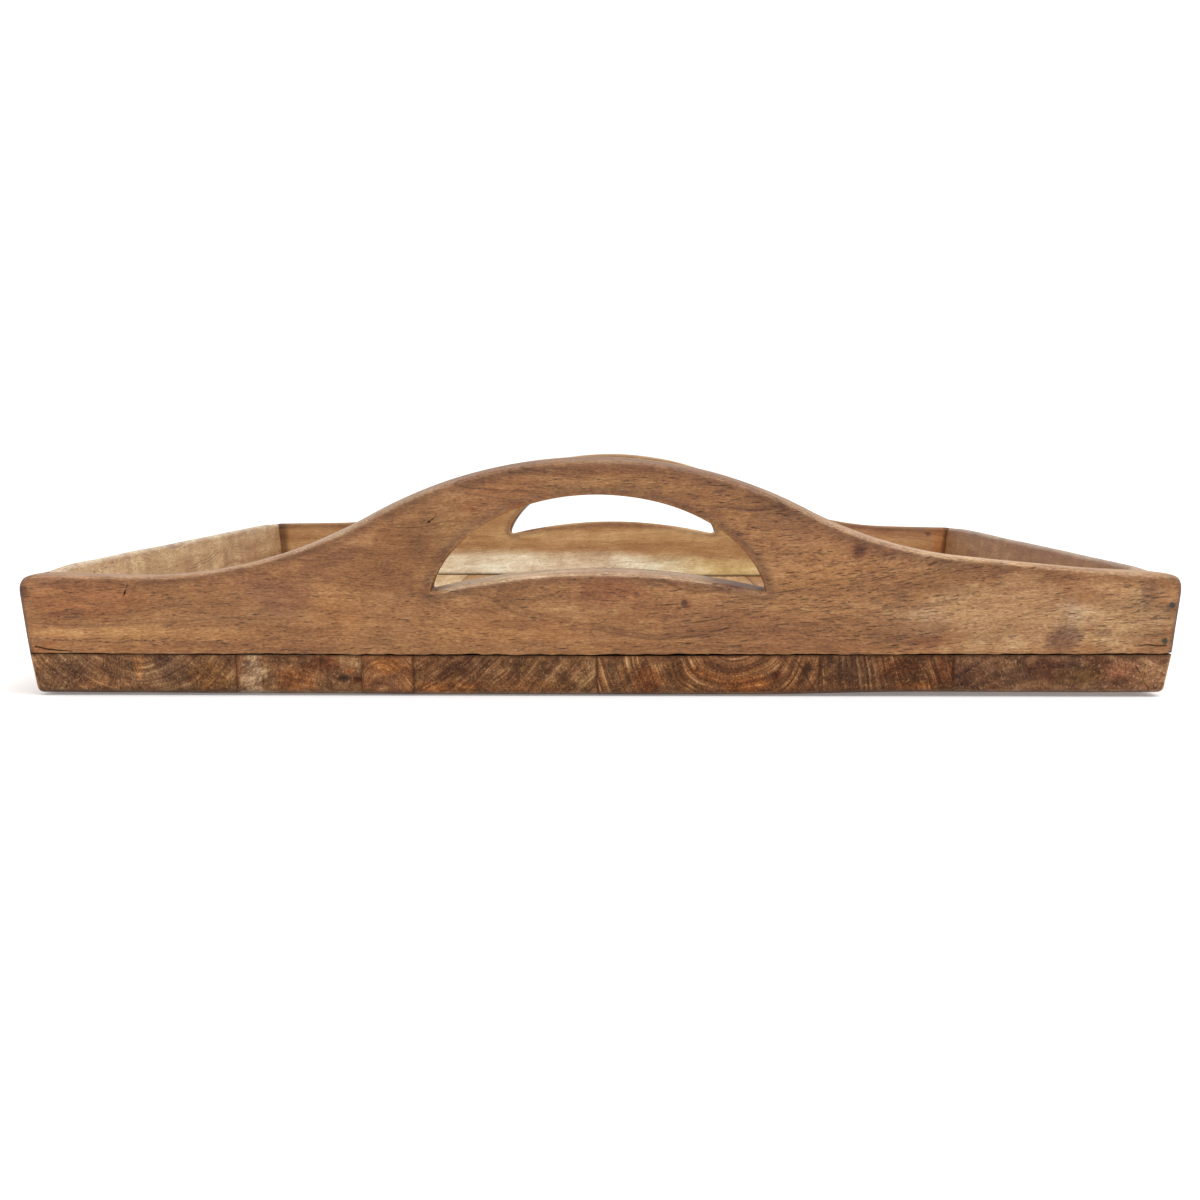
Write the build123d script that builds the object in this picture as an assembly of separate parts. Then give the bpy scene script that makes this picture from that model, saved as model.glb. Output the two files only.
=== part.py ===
from build123d import *
import math
import os

# Wooden serving tray: a base of edge-glued staves, two arched end boards with hand holes,
# two side boards between them, nails and the putty over the nails.
# Length along Y, width along X, +Z up, origin on the underside at the middle of the tray.

# Overall size, mm
overall_length = 508.0       # over the outer arrises of the two handle tops
overall_width = 381.0        # over the outer arrises of the side boards' rims
base_thickness = 13.6
board_thickness = 12.0       # the end boards
side_thickness = 9.0         # the side boards
wall_splay = 7.0             # degrees that every wall leans outward
base_edge_slope = 9.0        # degrees that the base's edge leans outward

# Outline of an end board, measured up its own face from the top of the base, mm
rim_rise = 25.4              # level shoulders, and the side boards
crest_rise = 64.2            # top of the handle
crest_offset = -1.0          # the crest sits a little to the -X side
crest_radius_minus = 150.0   # convex arch, -X half
crest_radius_plus = 145.0    # convex arch, +X half
sweep_radius = 155.0         # concave sweep from the arch to a level shoulder

# The front board's +X shoulder was cut as a long slope instead of a level
tail_start = 120.0           # where its sweep ends and the slope begins
tail_start_rise = 30.4
tail_slope = 6.0             # degrees of fall at that place
tail_end_rise = 24.4         # where it runs past the board's end

# Hand hole: the part of an upright ellipse that is above a wide arc
hole_half_width = 55.5
hole_half_height = 38.5
hole_centre_rise = 14.4
hole_floor_rise = 27.4       # top of the arc that is the hole's lower edge
hole_floor_radius = 220.0

# Eased arrises
rim_round = 2.5
hole_round = 1.6
corner_round = 2.0
base_round = 2.5

# Joints between the staves, x from the -X side to the +X side
stave_joints = [-119.1, -77.8, -60.9, -0.5, 72.3, 116.2]

# Finishing nails and the putty over their heads
shank_diameter = 1.5
head_diameter = 2.4
head_thickness = 0.8
nail_length = 28.0
set_depth = 1.5              # how far a head is punched below the surface
putty_shrink = 0.2           # how far the putty under the base stays below the underside
corner_nails = [(186.4, 16.6), (184.6, 4.6)]         # across and up the end board's face
base_nails_under_ends = [-153.0, -31.0, 36.0, 152.0]
base_nails_under_sides = [-160.0, 0.0, 160.0]
side_nail_inset = 5.4        # from a side board's outer face, clear of the base's eased arris

sine = math.sin(math.radians(wall_splay))
cosine = math.cos(math.radians(wall_splay))
tangent = math.tan(math.radians(wall_splay))
half_width = overall_width / 2
foot_y = overall_length / 2 - crest_rise * sine                # outer faces where they meet the base
rim_z = base_thickness + rim_rise * cosine
foot_x = half_width - (rim_z - base_thickness) * tangent
wall_run = board_thickness / cosine                            # thicknesses, measured level
side_run = side_thickness / cosine


def end_plane():
    """Plane on the outer face of the -Y end board, x to +X and y up the board."""
    return Plane(origin=(0, -foot_y, base_thickness), x_dir=(1, 0, 0), z_dir=(0, -cosine, -sine))


def arc_point(centre, radius, angle):
    """Point on a circle; the angle is measured from straight up, positive towards +X."""
    turn = math.radians(angle)
    return (centre[0] + radius * math.sin(turn), centre[1] + radius * math.cos(turn))


def level_shoulder(side, hub, crest_radius):
    """Arc middles and ends from the crest down to a level shoulder on one side, -1 or 1."""
    hubs_apart = crest_radius + sweep_radius
    turn = side * math.degrees(math.acos((rim_rise + sweep_radius - hub[1]) / hubs_apart))
    sweep_hub = arc_point(hub, hubs_apart, turn)
    return [arc_point(hub, crest_radius, turn / 2), arc_point(hub, crest_radius, turn),
            arc_point(sweep_hub, sweep_radius, 180 + turn / 2), (sweep_hub[0], rim_rise)]


def sloping_shoulder(hub, crest_radius):
    """Arc middles and ends from the crest down to the start of the front board's long slope."""
    across = tail_start - hub[0]
    up = tail_start_rise - hub[1]
    slope = math.radians(tail_slope)
    # the sweep's hub lies on the normal at the slope's start, and the sweep touches the crest arc
    along_normal = across * math.sin(slope) + up * math.cos(slope)
    radius = (across ** 2 + up ** 2 - crest_radius ** 2) / (2 * (crest_radius - along_normal))
    sweep_hub = arc_point((tail_start, tail_start_rise), radius, tail_slope)
    turn = math.degrees(math.atan2(sweep_hub[0] - hub[0], sweep_hub[1] - hub[1]))
    return [arc_point(hub, crest_radius, turn / 2), arc_point(hub, crest_radius, turn),
            arc_point(sweep_hub, radius, 180 + (turn + tail_slope) / 2), (tail_start, tail_start_rise)]


def end_outline(sloping):
    """Face of an end board in its own plane, drawn past the base and past both ends."""
    crest = (crest_offset, crest_rise)
    minus_hub = (crest_offset, crest_rise - crest_radius_minus)
    plus_hub = (crest_offset, crest_rise - crest_radius_plus)
    minus_side = [crest] + level_shoulder(-1, minus_hub, crest_radius_minus)
    if sloping:
        plus_side = [crest] + sloping_shoulder(plus_hub, crest_radius_plus)
    else:
        plus_side = [crest] + level_shoulder(1, plus_hub, crest_radius_plus)
    past_end = half_width + board_thickness
    below = -board_thickness
    with BuildLine() as outline:
        for way in (minus_side, plus_side):
            ThreePointArc(way[0], way[1], way[2])
            ThreePointArc(way[2], way[3], way[4])
        Line(minus_side[-1], (-past_end, rim_rise))
        if sloping:
            fall = math.radians(tail_slope)
            TangentArc(plus_side[-1], (past_end, tail_end_rise),
                       tangent=(math.cos(fall), -math.sin(fall)))
            plus_corner = (past_end, tail_end_rise)
        else:
            plus_corner = (past_end, rim_rise)
            Line(plus_side[-1], plus_corner)
        Line((-past_end, rim_rise), (-past_end, below))
        Line((-past_end, below), (past_end, below))
        Line((past_end, below), plus_corner)
    return make_face(outline.line)


def hand_hole():
    """Face of the hand hole in an end board's plane."""
    oval = Pos(0, hole_centre_rise) * Ellipse(hole_half_width, hole_half_height)
    floor_arc = Pos(0, hole_floor_rise - hole_floor_radius) * Circle(hole_floor_radius)
    return oval - floor_arc


def wall_envelope():
    """The space inside the outer faces of all four walls, above the base, corners rounded."""
    plan = RectangleRounded(2 * foot_x, 2 * foot_y, corner_round)
    return extrude(Pos(0, 0, base_thickness) * plan, 2 * crest_rise, taper=-wall_splay)


def between_end_boards():
    """The space between the inner faces of the two end boards, above the base."""
    inner_y = foot_y - wall_run
    top_z = base_thickness + crest_rise
    top_y = inner_y + crest_rise * tangent
    section = Polygon((-inner_y, base_thickness), (inner_y, base_thickness),
                      (top_y, top_z), (-top_y, top_z), align=None)
    return extrude(Plane.YZ * section, overall_width, both=True)


def end_board_without_holes(sloping):
    """An end board at the -Y end with its hand hole and eased arrises, before any nail is driven."""
    face = end_plane()
    profile = face * (end_outline(sloping) - hand_hole())
    slab = extrude(profile, -board_thickness) + extrude(profile, corner_round)
    board = slab & wall_envelope()

    def on_hand_hole(edge):
        middle = face.to_local_coords(edge @ 0.5)
        hole_top = hole_centre_rise + hole_half_height
        within = abs(middle.X) < hole_half_width and hole_centre_rise < middle.Y < hole_top + hole_round
        return within and edge.length > hole_half_width

    def on_rim(edge):
        start = face.to_local_coords(edge @ 0)
        end = face.to_local_coords(edge @ 1)
        straight_through = abs(start.Z - end.Z) > board_thickness - 0.01
        return min(start.Y, end.Y) > tail_end_rise - 1 and not straight_through and not on_hand_hole(edge)

    board = fillet([edge for edge in board.edges() if on_hand_hole(edge)], hole_round)
    return fillet([edge for edge in board.edges() if on_rim(edge)], rim_round)


def side_board_without_holes():
    """The +X side board, cut to lie between the end boards, before any nail is driven."""
    outer_top = (half_width, rim_z)
    inner_top = (half_width - side_thickness * cosine, rim_z + side_thickness * sine)
    section = Polygon((foot_x - side_run, base_thickness), (foot_x, base_thickness),
                      outer_top, inner_top, align=None)
    board = extrude(Plane.XZ * section, overall_length / 2, both=True)
    rims = board.edges().filter_by(Axis.Y).sort_by(Axis.Z)[-2:]
    return fillet(rims, rim_round) & between_end_boards()


def base_block():
    """The whole base panel, before it is divided into staves."""
    step_in = base_thickness * math.tan(math.radians(base_edge_slope))
    plan = RectangleRounded(2 * (foot_x - step_in), 2 * (foot_y - step_in), corner_round)
    block = extrude(plan, base_thickness, taper=-base_edge_slope)
    return fillet(block.edges().group_by(Axis.Z)[0], base_round)


def corner_nail_places():
    """Places on the -Y end board's outer face, one at each corner nail."""
    places = []
    for across, up in corner_nails:
        for side in (-1, 1):
            places.append(end_plane() * Pos(side * across, up))
    return places


def base_nail_places():
    """Places on the underside, facing down, one at each nail that goes up into a wall."""
    end_y = foot_y - wall_run / 2
    side_x = foot_x - side_nail_inset
    spots = []
    for x in base_nails_under_ends:
        spots += [(x, -end_y), (x, end_y)]
    for y in base_nails_under_sides:
        spots += [(-side_x, y), (side_x, y)]
    return [Pos(x, y) * Rot(180, 0, 0) for x, y in spots]


def driven_rod(diameter, start, length):
    """A round rod along -Z whose top is start below z = 0."""
    return Pos(0, 0, -start - length / 2) * Cylinder(diameter / 2, length)


def nail():
    """A finishing nail driven along -Z, its head set below the surface at z = 0."""
    head = driven_rod(head_diameter, set_depth, head_thickness)
    return head + driven_rod(shank_diameter, set_depth, nail_length)


def putty(shrink):
    """The filler over a nail's head, shrunk a little below the surface."""
    return driven_rod(head_diameter, shrink, set_depth - shrink)


def copies(shape, places):
    """One shape at each place, as separate solids."""
    return [place * shape for place in places]


def at_far_end(shapes):
    """The same pieces at the +Y end, as their mirror image."""
    return [shape.mirror(Plane.XZ) for shape in shapes]


def save(node, shapes):
    """Write a sub-part's solids to its own file."""
    solids = [solid for shape in shapes for solid in shape.solids()]
    body = solids[0] if len(solids) == 1 else Compound(solids)
    export_step(body, f"parts/{node}.step")


def main():
    os.makedirs("parts", exist_ok=True)
    hole = nail() + putty(0)
    corner_places = corner_nail_places()
    base_places = base_nail_places()
    corner_holes = copies(hole, corner_places)
    all_holes = corner_holes + at_far_end(corner_holes) + copies(hole, base_places)

    front = end_board_without_holes(sloping=True)
    rear = end_board_without_holes(sloping=False).mirror(Plane.XZ)
    right = side_board_without_holes()
    save("front_end_board", [front - all_holes])
    save("rear_end_board", [rear - all_holes])
    save("right_side_board", [right - all_holes])
    save("left_side_board", [right.mirror(Plane.YZ) - all_holes])

    base = base_block() - all_holes
    edges = [-half_width] + stave_joints + [half_width]
    for number, (low, high) in enumerate(zip(edges, edges[1:]), start=1):
        slice_box = Pos((low + high) / 2, 0, 0) * Box(high - low, overall_length, overall_length)
        save(f"base_stave_{number}", [base & slice_box])

    corner_set = copies(nail(), corner_places)
    corner_fill = copies(putty(0), corner_places)
    save("front_corner_nails", corner_set)
    save("rear_corner_nails", at_far_end(corner_set))
    save("front_corner_putty", corner_fill)
    save("rear_corner_putty", at_far_end(corner_fill))
    save("base_nails", copies(nail(), base_places))
    save("base_nail_putty", copies(putty(putty_shrink), base_places))


main()
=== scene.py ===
import math
import random

import bpy
import numpy as np
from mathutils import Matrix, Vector, kdtree, noise
from mathutils.geometry import delaunay_2d_cdt


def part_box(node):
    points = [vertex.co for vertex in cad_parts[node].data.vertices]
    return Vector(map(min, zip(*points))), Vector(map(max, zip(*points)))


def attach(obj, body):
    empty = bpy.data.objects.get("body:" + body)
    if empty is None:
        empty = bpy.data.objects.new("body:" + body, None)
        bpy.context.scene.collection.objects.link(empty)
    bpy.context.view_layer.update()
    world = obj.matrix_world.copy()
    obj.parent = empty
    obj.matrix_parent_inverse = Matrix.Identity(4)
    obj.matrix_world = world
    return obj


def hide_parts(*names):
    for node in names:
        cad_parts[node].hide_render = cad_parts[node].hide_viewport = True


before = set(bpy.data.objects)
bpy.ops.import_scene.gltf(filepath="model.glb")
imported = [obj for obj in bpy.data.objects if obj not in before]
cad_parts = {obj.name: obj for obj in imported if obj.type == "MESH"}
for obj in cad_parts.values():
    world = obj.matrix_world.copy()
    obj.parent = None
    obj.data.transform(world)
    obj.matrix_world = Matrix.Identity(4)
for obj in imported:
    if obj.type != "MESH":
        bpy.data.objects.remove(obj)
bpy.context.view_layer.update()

# A hand-made wooden serving tray. The walls and the base are drawn in millimetres in flat board
# coordinates (u across, v up, d into the wood from the outer face) and put in place by functions.

MM = 0.001

# Dimensions that the frame gives
stave_boxes = [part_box(f"base_stave_{number}") for number in range(1, 8)]
stave_joints = [high.x / MM for low, high in stave_boxes[:-1]]
base_thickness = stave_boxes[0][1].z / MM
foot_x = stave_boxes[-1][1].x / MM
foot_y = stave_boxes[0][1].y / MM
side_inner_foot_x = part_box("right_side_board")[0].x / MM

# Dimensions of the design that boxes don't give
board_thickness = 12.0       # the end boards
wall_splay = math.radians(7.0)
base_edge_slope = math.radians(9.0)
rim_rise = 25.4
crest_rise = 64.2
crest_offset = -1.0
crest_radius_minus = 150.0
crest_radius_plus = 145.0
sweep_radius = 155.0
tail_start = 120.0
tail_start_rise = 30.4
tail_slope = math.radians(6.0)
tail_end_rise = 24.4
hole_half_width = 55.5
hole_half_height = 38.5
hole_centre_rise = 14.4
hole_floor_rise = 27.4
hole_floor_radius = 220.0
rim_round = 1.6              # worn a little less than it was cut
corner_reach = (6.2, 4.7)    # how far from their corners the end boards' tops were sanded, -u and +u
hole_corner_reach = {-1: 1.2, 1: 3.2}
side_top_lift = 0.9          # how far the side boards stand above the rim's line between the corners
side_top_slant = 1.0         # how much lower their outer arrises are than a square top's
side_end_ease = 1.6          # the same at the corners of the tray
hole_round = 1.6
level_share = {-1: 0.85, 1: 0.0}     # how nearly level the shoulders' tops are, front and rear
corner_level = 0.6           # how much of that is left at the corners
shoulder_raise = {-1: 0.3, 1: 1.45}  # how far the front shoulders stand above their drawn line, -X and +X
rear_hole_extra = 1.2        # the rear hand hole was cut this much wider on each side
end_round = 2.0
base_round = 2.5
sawn_round = 0.3             # arrises that were only sawn
joint_round = 0.12           # arrises at the glue joints
joint_groove = 0.28          # half width and depth of the groove along a glue joint
corner_nails = [(186.4, 16.6), (184.6, 4.6)]
putty_radius = 0.95
base_nails_under_ends = [-153.0, -31.0, 36.0, 152.0]
base_nails_under_sides = [-160.0, 0.0, 160.0]
side_nail_inset = 5.4

splay_sine = math.sin(wall_splay)
splay_cosine = math.cos(wall_splay)
splay_tangent = math.tan(wall_splay)
wall_run = board_thickness / splay_cosine
side_run = foot_x - side_inner_foot_x
side_thickness = side_run * splay_cosine
tray_end_y = 250.0           # half the tray's length, where the settling of the rims is measured
reach_at_rim = foot_y - wall_run + rim_rise * (splay_tangent * splay_cosine)   # of a side board, along v

# How fine the meshes are
outline_step = 2.0
face_step = {"fine": 1.3, "plain": 2.2, "end": 0.8}
ring_turns = {"wide": 5, "narrow": 2}
longest_mitre = 1.8          # how far a corner's inset may reach, in roundings
sharp_turn = 0.15            # sine of the turn from which an outline has a corner

# Camera and light, in metres
camera_lens = 66.98
camera_place = (0.01148, -0.97453, 0.08004)
camera_pitch = math.radians(3.844)
camera_yaw = math.radians(-0.863)
lamp_place = (0.7, -0.9, 1.6)
lamp_size = (2.2, 1.6)
lamp_power = 22
sky_strength = 1.1
floor_reach = 6.0
floor_height = -0.0008
floor_tone = (0.82, 0.82, 0.82, 1)
floor_glow = 0.2             # the floor is a light table
white = (1, 1, 1, 1)

# Finish of the wood
face_shine = 0.32            # specular level of planed faces
end_shine = 0.10             # and of thirsty end grain
grain_depth = 0.00016        # of the fibres' relief, in metres
plain_vessels = 0.35         # share of long vessels where a piece doesn't say otherwise
vessel_lean = 0.06           # how far the vessels lean off the grain

# Without a seed of its own, noise_vector starts from the clock and each run's boards wander differently
wander_seed = 1
noise.seed_set(wander_seed)


# ---------------------------------------------------------------- outlines

def arc(hub, radius, start, stop):
    """Points on a circle; angles are in radians from straight up, positive towards +u."""
    count = max(2, round(abs(stop - start) * radius / outline_step))
    turns = [start + (stop - start) * step / count for step in range(count + 1)]
    return [(hub[0] + radius * math.sin(turn), hub[1] + radius * math.cos(turn)) for turn in turns]


def line(start, end, step=outline_step):
    """Evenly spaced points on a straight line."""
    count = max(1, round(math.dist(start, end) / step))
    return [(start[0] + (end[0] - start[0]) * index / count,
             start[1] + (end[1] - start[1]) * index / count) for index in range(count + 1)]


def join(*runs):
    """Runs of points one after another, without doubled points where they meet."""
    points = list(runs[0])
    for run in runs[1:]:
        start = 1 if math.dist(points[-1], run[0]) < 0.01 else 0
        points += run[start:]
    return points


def flipped(points):
    """The mirror image across u = 0, in reverse order."""
    return [(-u, v) for u, v in reversed(points)]


def shoulder(hub, radius):
    """From the crest down to a level shoulder at rim_rise, towards +u."""
    apart = radius + sweep_radius
    turn = math.acos((rim_rise + sweep_radius - hub[1]) / apart)
    sweep_hub = (hub[0] + apart * math.sin(turn), hub[1] + apart * math.cos(turn))
    end = (foot_x + rim_rise * splay_sine, rim_rise)
    return join(arc(hub, radius, 0, turn), arc(sweep_hub, sweep_radius, math.pi + turn, math.pi),
                line((sweep_hub[0], rim_rise), end))


def sloping_shoulder(hub, radius):
    """From the crest down to the front board's long slope, towards +u."""
    across = tail_start - hub[0]
    up = tail_start_rise - hub[1]
    along_normal = across * math.sin(tail_slope) + up * math.cos(tail_slope)
    sweep = (across ** 2 + up ** 2 - radius ** 2) / (2 * (radius - along_normal))
    sweep_hub = (tail_start + sweep * math.sin(tail_slope), tail_start_rise + sweep * math.cos(tail_slope))
    turn = math.atan2(sweep_hub[0] - hub[0], sweep_hub[1] - hub[1])
    run = foot_x + board_thickness - tail_start
    bend = (tail_end_rise - tail_start_rise + math.tan(tail_slope) * run) / run ** 2
    tail = []
    u = tail_start
    v = tail_start_rise
    while u < foot_x + v * splay_sine:
        tail.append((u, v))
        u += outline_step
        gone = u - tail_start
        v = tail_start_rise - math.tan(tail_slope) * gone + bend * gone ** 2
    return join(arc(hub, radius, 0, turn),
                arc(sweep_hub, sweep, math.pi + turn, math.pi + tail_slope), tail)


def rim_line(sloping):
    """The top of an end board from its -u end to its +u end."""
    minus_hub = (-crest_offset, crest_rise - crest_radius_minus)
    plus_hub = (crest_offset, crest_rise - crest_radius_plus)
    plus_shoulder = sloping_shoulder if sloping else shoulder
    minus_shoulder = flipped(shoulder(minus_hub, crest_radius_minus))
    return join(minus_shoulder, plus_shoulder(plus_hub, crest_radius_plus))


def board_loop(rim, foot_end):
    """Edges of a wall's outer outline, anticlockwise, each with its own rounding."""
    ends = ((-foot_end, 0.0), (foot_end, 0.0))
    return [(line(*ends, 1.0), sawn_round),
            (line(ends[1], rim[-1]), end_round),
            (list(reversed(rim)), rim_round),
            (line(rim[0], ends[0]), end_round)]


def eased_corner(edges, index, reach, steps):
    """Rounds the corner where edge number index ends and the next begins, over this reach."""
    following = (index + 1) % len(edges)
    run, radius = edges[index]
    next_run, next_radius = edges[following]
    corner = np.array(run[-1])
    kept = [point for point in run if math.dist(point, corner) > reach]
    next_kept = [point for point in next_run if math.dist(point, corner) > reach]
    start = corner + reach * unit(np.array(kept[-1]) - corner)
    end = corner + reach * unit(np.array(next_kept[0]) - corner)
    curve = [tuple((1 - t) ** 2 * start + 2 * t * (1 - t) * corner + t * t * end)
             for t in np.linspace(0, 1, steps + 1)]
    half = steps // 2
    edges[index] = (thin_run(kept, curve[0], 0.4) + curve[:half + 1], radius)
    edges[following] = (curve[half:] + thin_run(next_kept, curve[-1], 0.4), next_radius)


def thin_run(run, point, least):
    """A run without its points that are nearer than least to a point."""
    return [other for other in run if math.dist(other, point) > least]


def unit(vector):
    return vector / np.linalg.norm(vector)


def hole_loop(extra):
    """Edges of the hand hole, clockwise: its arch, then its floor."""
    def inside_arc(u, v):
        return math.hypot(u, v - hole_floor_rise + hole_floor_radius) < hole_floor_radius

    steps = 96
    oval = []
    for step in range(steps + 1):
        turn = math.pi * step / steps
        u = -(hole_half_width + extra) * math.cos(turn)
        v = hole_centre_rise + hole_half_height * math.sin(turn)
        if not inside_arc(u, v):
            oval.append((u, v))
    corner = math.atan2(oval[-1][0], oval[-1][1] - hole_floor_rise + hole_floor_radius)
    floor_arc = arc((0, hole_floor_rise - hole_floor_radius), hole_floor_radius, corner, -corner)
    return [(join(oval, floor_arc[:1]), hole_round), (join(floor_arc, oval[:1]), hole_round)]


def stave_loop(low, high):
    """Edges of a stave's section, anticlockwise, with u = x and v = z."""
    step_in = math.tan(base_edge_slope)
    eased = joint_groove
    bottom_reach = foot_x - base_thickness * step_in

    def side(at, outermost):
        if not outermost:
            upright = line((at, eased), (at, base_thickness - eased), 1.2)
            return line((at - eased, 0), (at, eased)) + upright[1:] + [(at - eased, base_thickness)]
        hub = (bottom_reach - base_round * math.tan(math.pi / 4 - base_edge_slope / 2), base_round)
        curve = [(hub[0] + base_round * math.sin(angle), hub[1] - base_round * math.cos(angle))
                 for angle in np.linspace(0, math.pi / 2 - base_edge_slope, 7)]
        return [tuple(point) for point in curve] + line(curve[-1], (foot_x, base_thickness), 1.2)[1:]

    right = side(high, high >= foot_x - 0.1)
    left = flipped(side(-low, low <= -foot_x + 0.1))
    bottom = line(left[-1], right[0], 2.5)
    top = line(right[-1], left[0], 2.5)
    return [(run, joint_round) for run in (bottom, right, top, left)]


# ---------------------------------------------------------------- mesh of a board

class Board:
    """Vertices, faces and vertex values of one piece while it is being built."""

    def __init__(self):
        self.points = []
        self.faces = []
        self.arris = []
        self.edge = []
        self.pit = []

    def add(self, u, v, d, arris=0.0, pit=0.0, edge=0.0):
        """arris is 1 on a rounding, edge is 1 on the narrow sides, pit is 1 in the dark of a crack."""
        self.points.append((u, v, d))
        self.arris.append(arris)
        self.edge.append(edge)
        self.pit.append(pit)
        return len(self.points) - 1


def cleared(edges, guard):
    """The edges without the points that a neighbour's rounding would overrun at an outer corner."""
    result = []
    for index, (run, radius) in enumerate(edges):
        previous_run, previous_radius = edges[index - 1]
        next_run, next_radius = edges[(index + 1) % len(edges)]
        keep_from = keep_to = 0.0
        if corner_turn(previous_run[-2], run[0], run[1]) > sharp_turn:
            keep_from = previous_radius * 1.35 + guard + 0.1
        if corner_turn(run[-2], run[-1], next_run[1]) > sharp_turn:
            keep_to = next_radius * 1.35 + guard + 0.1
        middle = [point for point in run[1:-1]
                  if math.dist(point, run[0]) > keep_from and math.dist(point, run[-1]) > keep_to]
        result.append(([run[0]] + middle + [run[-1]], radius))
    return result


def corner_turn(before, at, after):
    """Sine of the left turn made at a point."""
    first = left_normal(before, at)
    second = left_normal(at, after)
    return first[0] * second[1] - first[1] * second[0]


def loop_frame(edges, seed):
    """Joined points of a loop, with each point's inset vector and its depth of rounding."""
    points, before, after = [], [], []
    for run, radius in edges:
        for index, point in enumerate(run[:-1]):
            points.append(point)
            after.append(radius)
            before.append(before_radius(edges, run, radius) if index == 0 else radius)
    count = len(points)
    insets, depths = [], []
    for index, point in enumerate(points):
        previous = points[index - 1]
        following = points[(index + 1) % count]
        first = left_normal(previous, point)
        second = left_normal(point, following)
        wear = 1 + 0.22 * noise.noise(Vector((point[0] / 17, point[1] / 17, seed)))
        one = before[index] * wear
        two = after[index] * wear
        turn = first[0] * second[1] - first[1] * second[0]
        if abs(turn) > sharp_turn:
            inset = ((one * second[1] - two * first[1]) / turn, (two * first[0] - one * second[0]) / turn)
            shrink = min(1.0, longest_mitre * max(one, two) / math.hypot(*inset))
            inset = (inset[0] * shrink, inset[1] * shrink)
        else:
            mean = ((first[0] + second[0]) / 2, (first[1] + second[1]) / 2)
            length = math.hypot(*mean)
            inset = (mean[0] / length * (one + two) / 2, mean[1] / length * (one + two) / 2)
        insets.append(inset)
        depths.append(max(one, two))
    return points, insets, depths


def before_radius(edges, run, radius):
    """Rounding of the edge that ends where this run starts."""
    for other, other_radius in edges:
        if other is not run and math.dist(other[-1], run[0]) < 0.01:
            return other_radius
    return radius


def left_normal(start, end):
    """Unit normal on the left of the way from start to end."""
    length = math.dist(start, end)
    return ((start[1] - end[1]) / length, (end[0] - start[0]) / length)


def inside(loops, spots):
    """Which spots lie within the loops, by counting crossings."""
    u, v = spots[:, 0], spots[:, 1]
    within = np.zeros(len(spots), bool)
    for points in loops:
        corners = np.array(points)
        for (u0, v0), (u1, v1) in zip(corners, np.roll(corners, -1, axis=0)):
            if v0 == v1:
                continue
            crosses = ((v0 > v) != (v1 > v)) & (u < (u1 - u0) * (v - v0) / (v1 - v0) + u0)
            within ^= crosses
    return within


def cut_points(cut, step=0.7):
    """Points along a crack, pore or chip with how deep each lies: (u, v, depth, pit)."""
    path, half_width, depth, dark = cut
    spots = []
    total = sum(math.dist(a, b) for a, b in zip(path, path[1:]))
    gone = 0.0
    for start, end in zip(path, path[1:]):
        length = math.dist(start, end)
        count = max(1, round(length / step))
        across = left_normal(start, end)
        for index in range(count + 1):
            part = index / count
            u = start[0] + (end[0] - start[0]) * part
            v = start[1] + (end[1] - start[1]) * part
            fill = math.sin(math.pi * min(1, max(0, (gone + length * part) / total)))
            wide = half_width * (0.45 + 0.55 * fill)
            spots.append((u, v, depth * (0.15 + 0.85 * fill), dark))
            for side in (wide, -wide):
                spots.append((u + across[0] * side, v + across[1] * side, 0.0, dark * 0.45))
                beyond = side * (1 + 0.22 / wide)
                spots.append((u + across[0] * beyond, v + across[1] * beyond, 0.0, 0.0))
        gone += length
    return spots


def scattered(zone, count, lengths, widths, lean, seed):
    """Open vessels scattered in a zone: short cuts that lean a little off the grain."""
    low_u, high_u, low_v, high_v = zone
    dice = random.Random(seed)
    cuts = []
    for _ in range(count):
        u = dice.uniform(low_u, high_u)
        v = dice.uniform(low_v, high_v)
        length = dice.uniform(*lengths) * dice.uniform(0.6, 1.0)
        turn = math.radians(lean + dice.uniform(-4, 4))
        half = (length / 2 * math.cos(turn), length / 2 * math.sin(turn))
        width = dice.uniform(*widths)
        path = [(u - half[0], v - half[1]), (u + half[0], v + half[1])]
        cuts.append((path, width, width * 1.1, dice.uniform(0.45, 0.95)))
    return cuts


def cut_spots(cuts):
    """All the extra mesh points of a list of cuts."""
    return [spot for cut in cuts for spot in cut_points(cut)]


def pit_points(centre, radius, depth, pit):
    """Points of a round hollow with a flat floor: (u, v, depth, pit)."""
    spots = [(centre[0], centre[1], depth, pit)]
    for reach, deep, dark in ((0.5, depth, pit), (0.85, depth, pit), (1.0, 0.0, pit / 2), (1.3, 0.0, 0.0)):
        count = 8 if reach < 0.6 else 14
        for index in range(count):
            turn = 2 * math.pi * index / count
            spots.append((centre[0] + radius * reach * math.cos(turn),
                          centre[1] + radius * reach * math.sin(turn), deep, dark))
    return spots


def spread(loops, step, taken, seed):
    """A slightly shaken triangular grid within the loops, clear of the points already taken."""
    corners = np.array([point for points in loops for point in points])
    low, high = corners.min(0), corners.max(0)
    shaker = random.Random(seed)
    spots = []
    row = 0
    v = low[1]
    while v < high[1]:
        u = low[0] + (step / 2 if row % 2 else 0)
        while u < high[0]:
            spots.append((u + shaker.uniform(-0.12, 0.12) * step, v + shaker.uniform(-0.12, 0.12) * step))
            u += step
        v += step * 0.866
        row += 1
    spots = np.array(spots)
    return clear_of(taken, [tuple(spot) for spot in spots[inside(loops, spots)]], step * 0.6)


def clear_of(taken, spots, least):
    """The spots that are farther than least from every point that is already taken."""
    tree = kdtree.KDTree(len(taken))
    for index, point in enumerate(taken):
        tree.insert((point[0], point[1], 0), index)
    tree.balance()
    return [spot for spot in spots if tree.find((spot[0], spot[1], 0))[2] > least]


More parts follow.
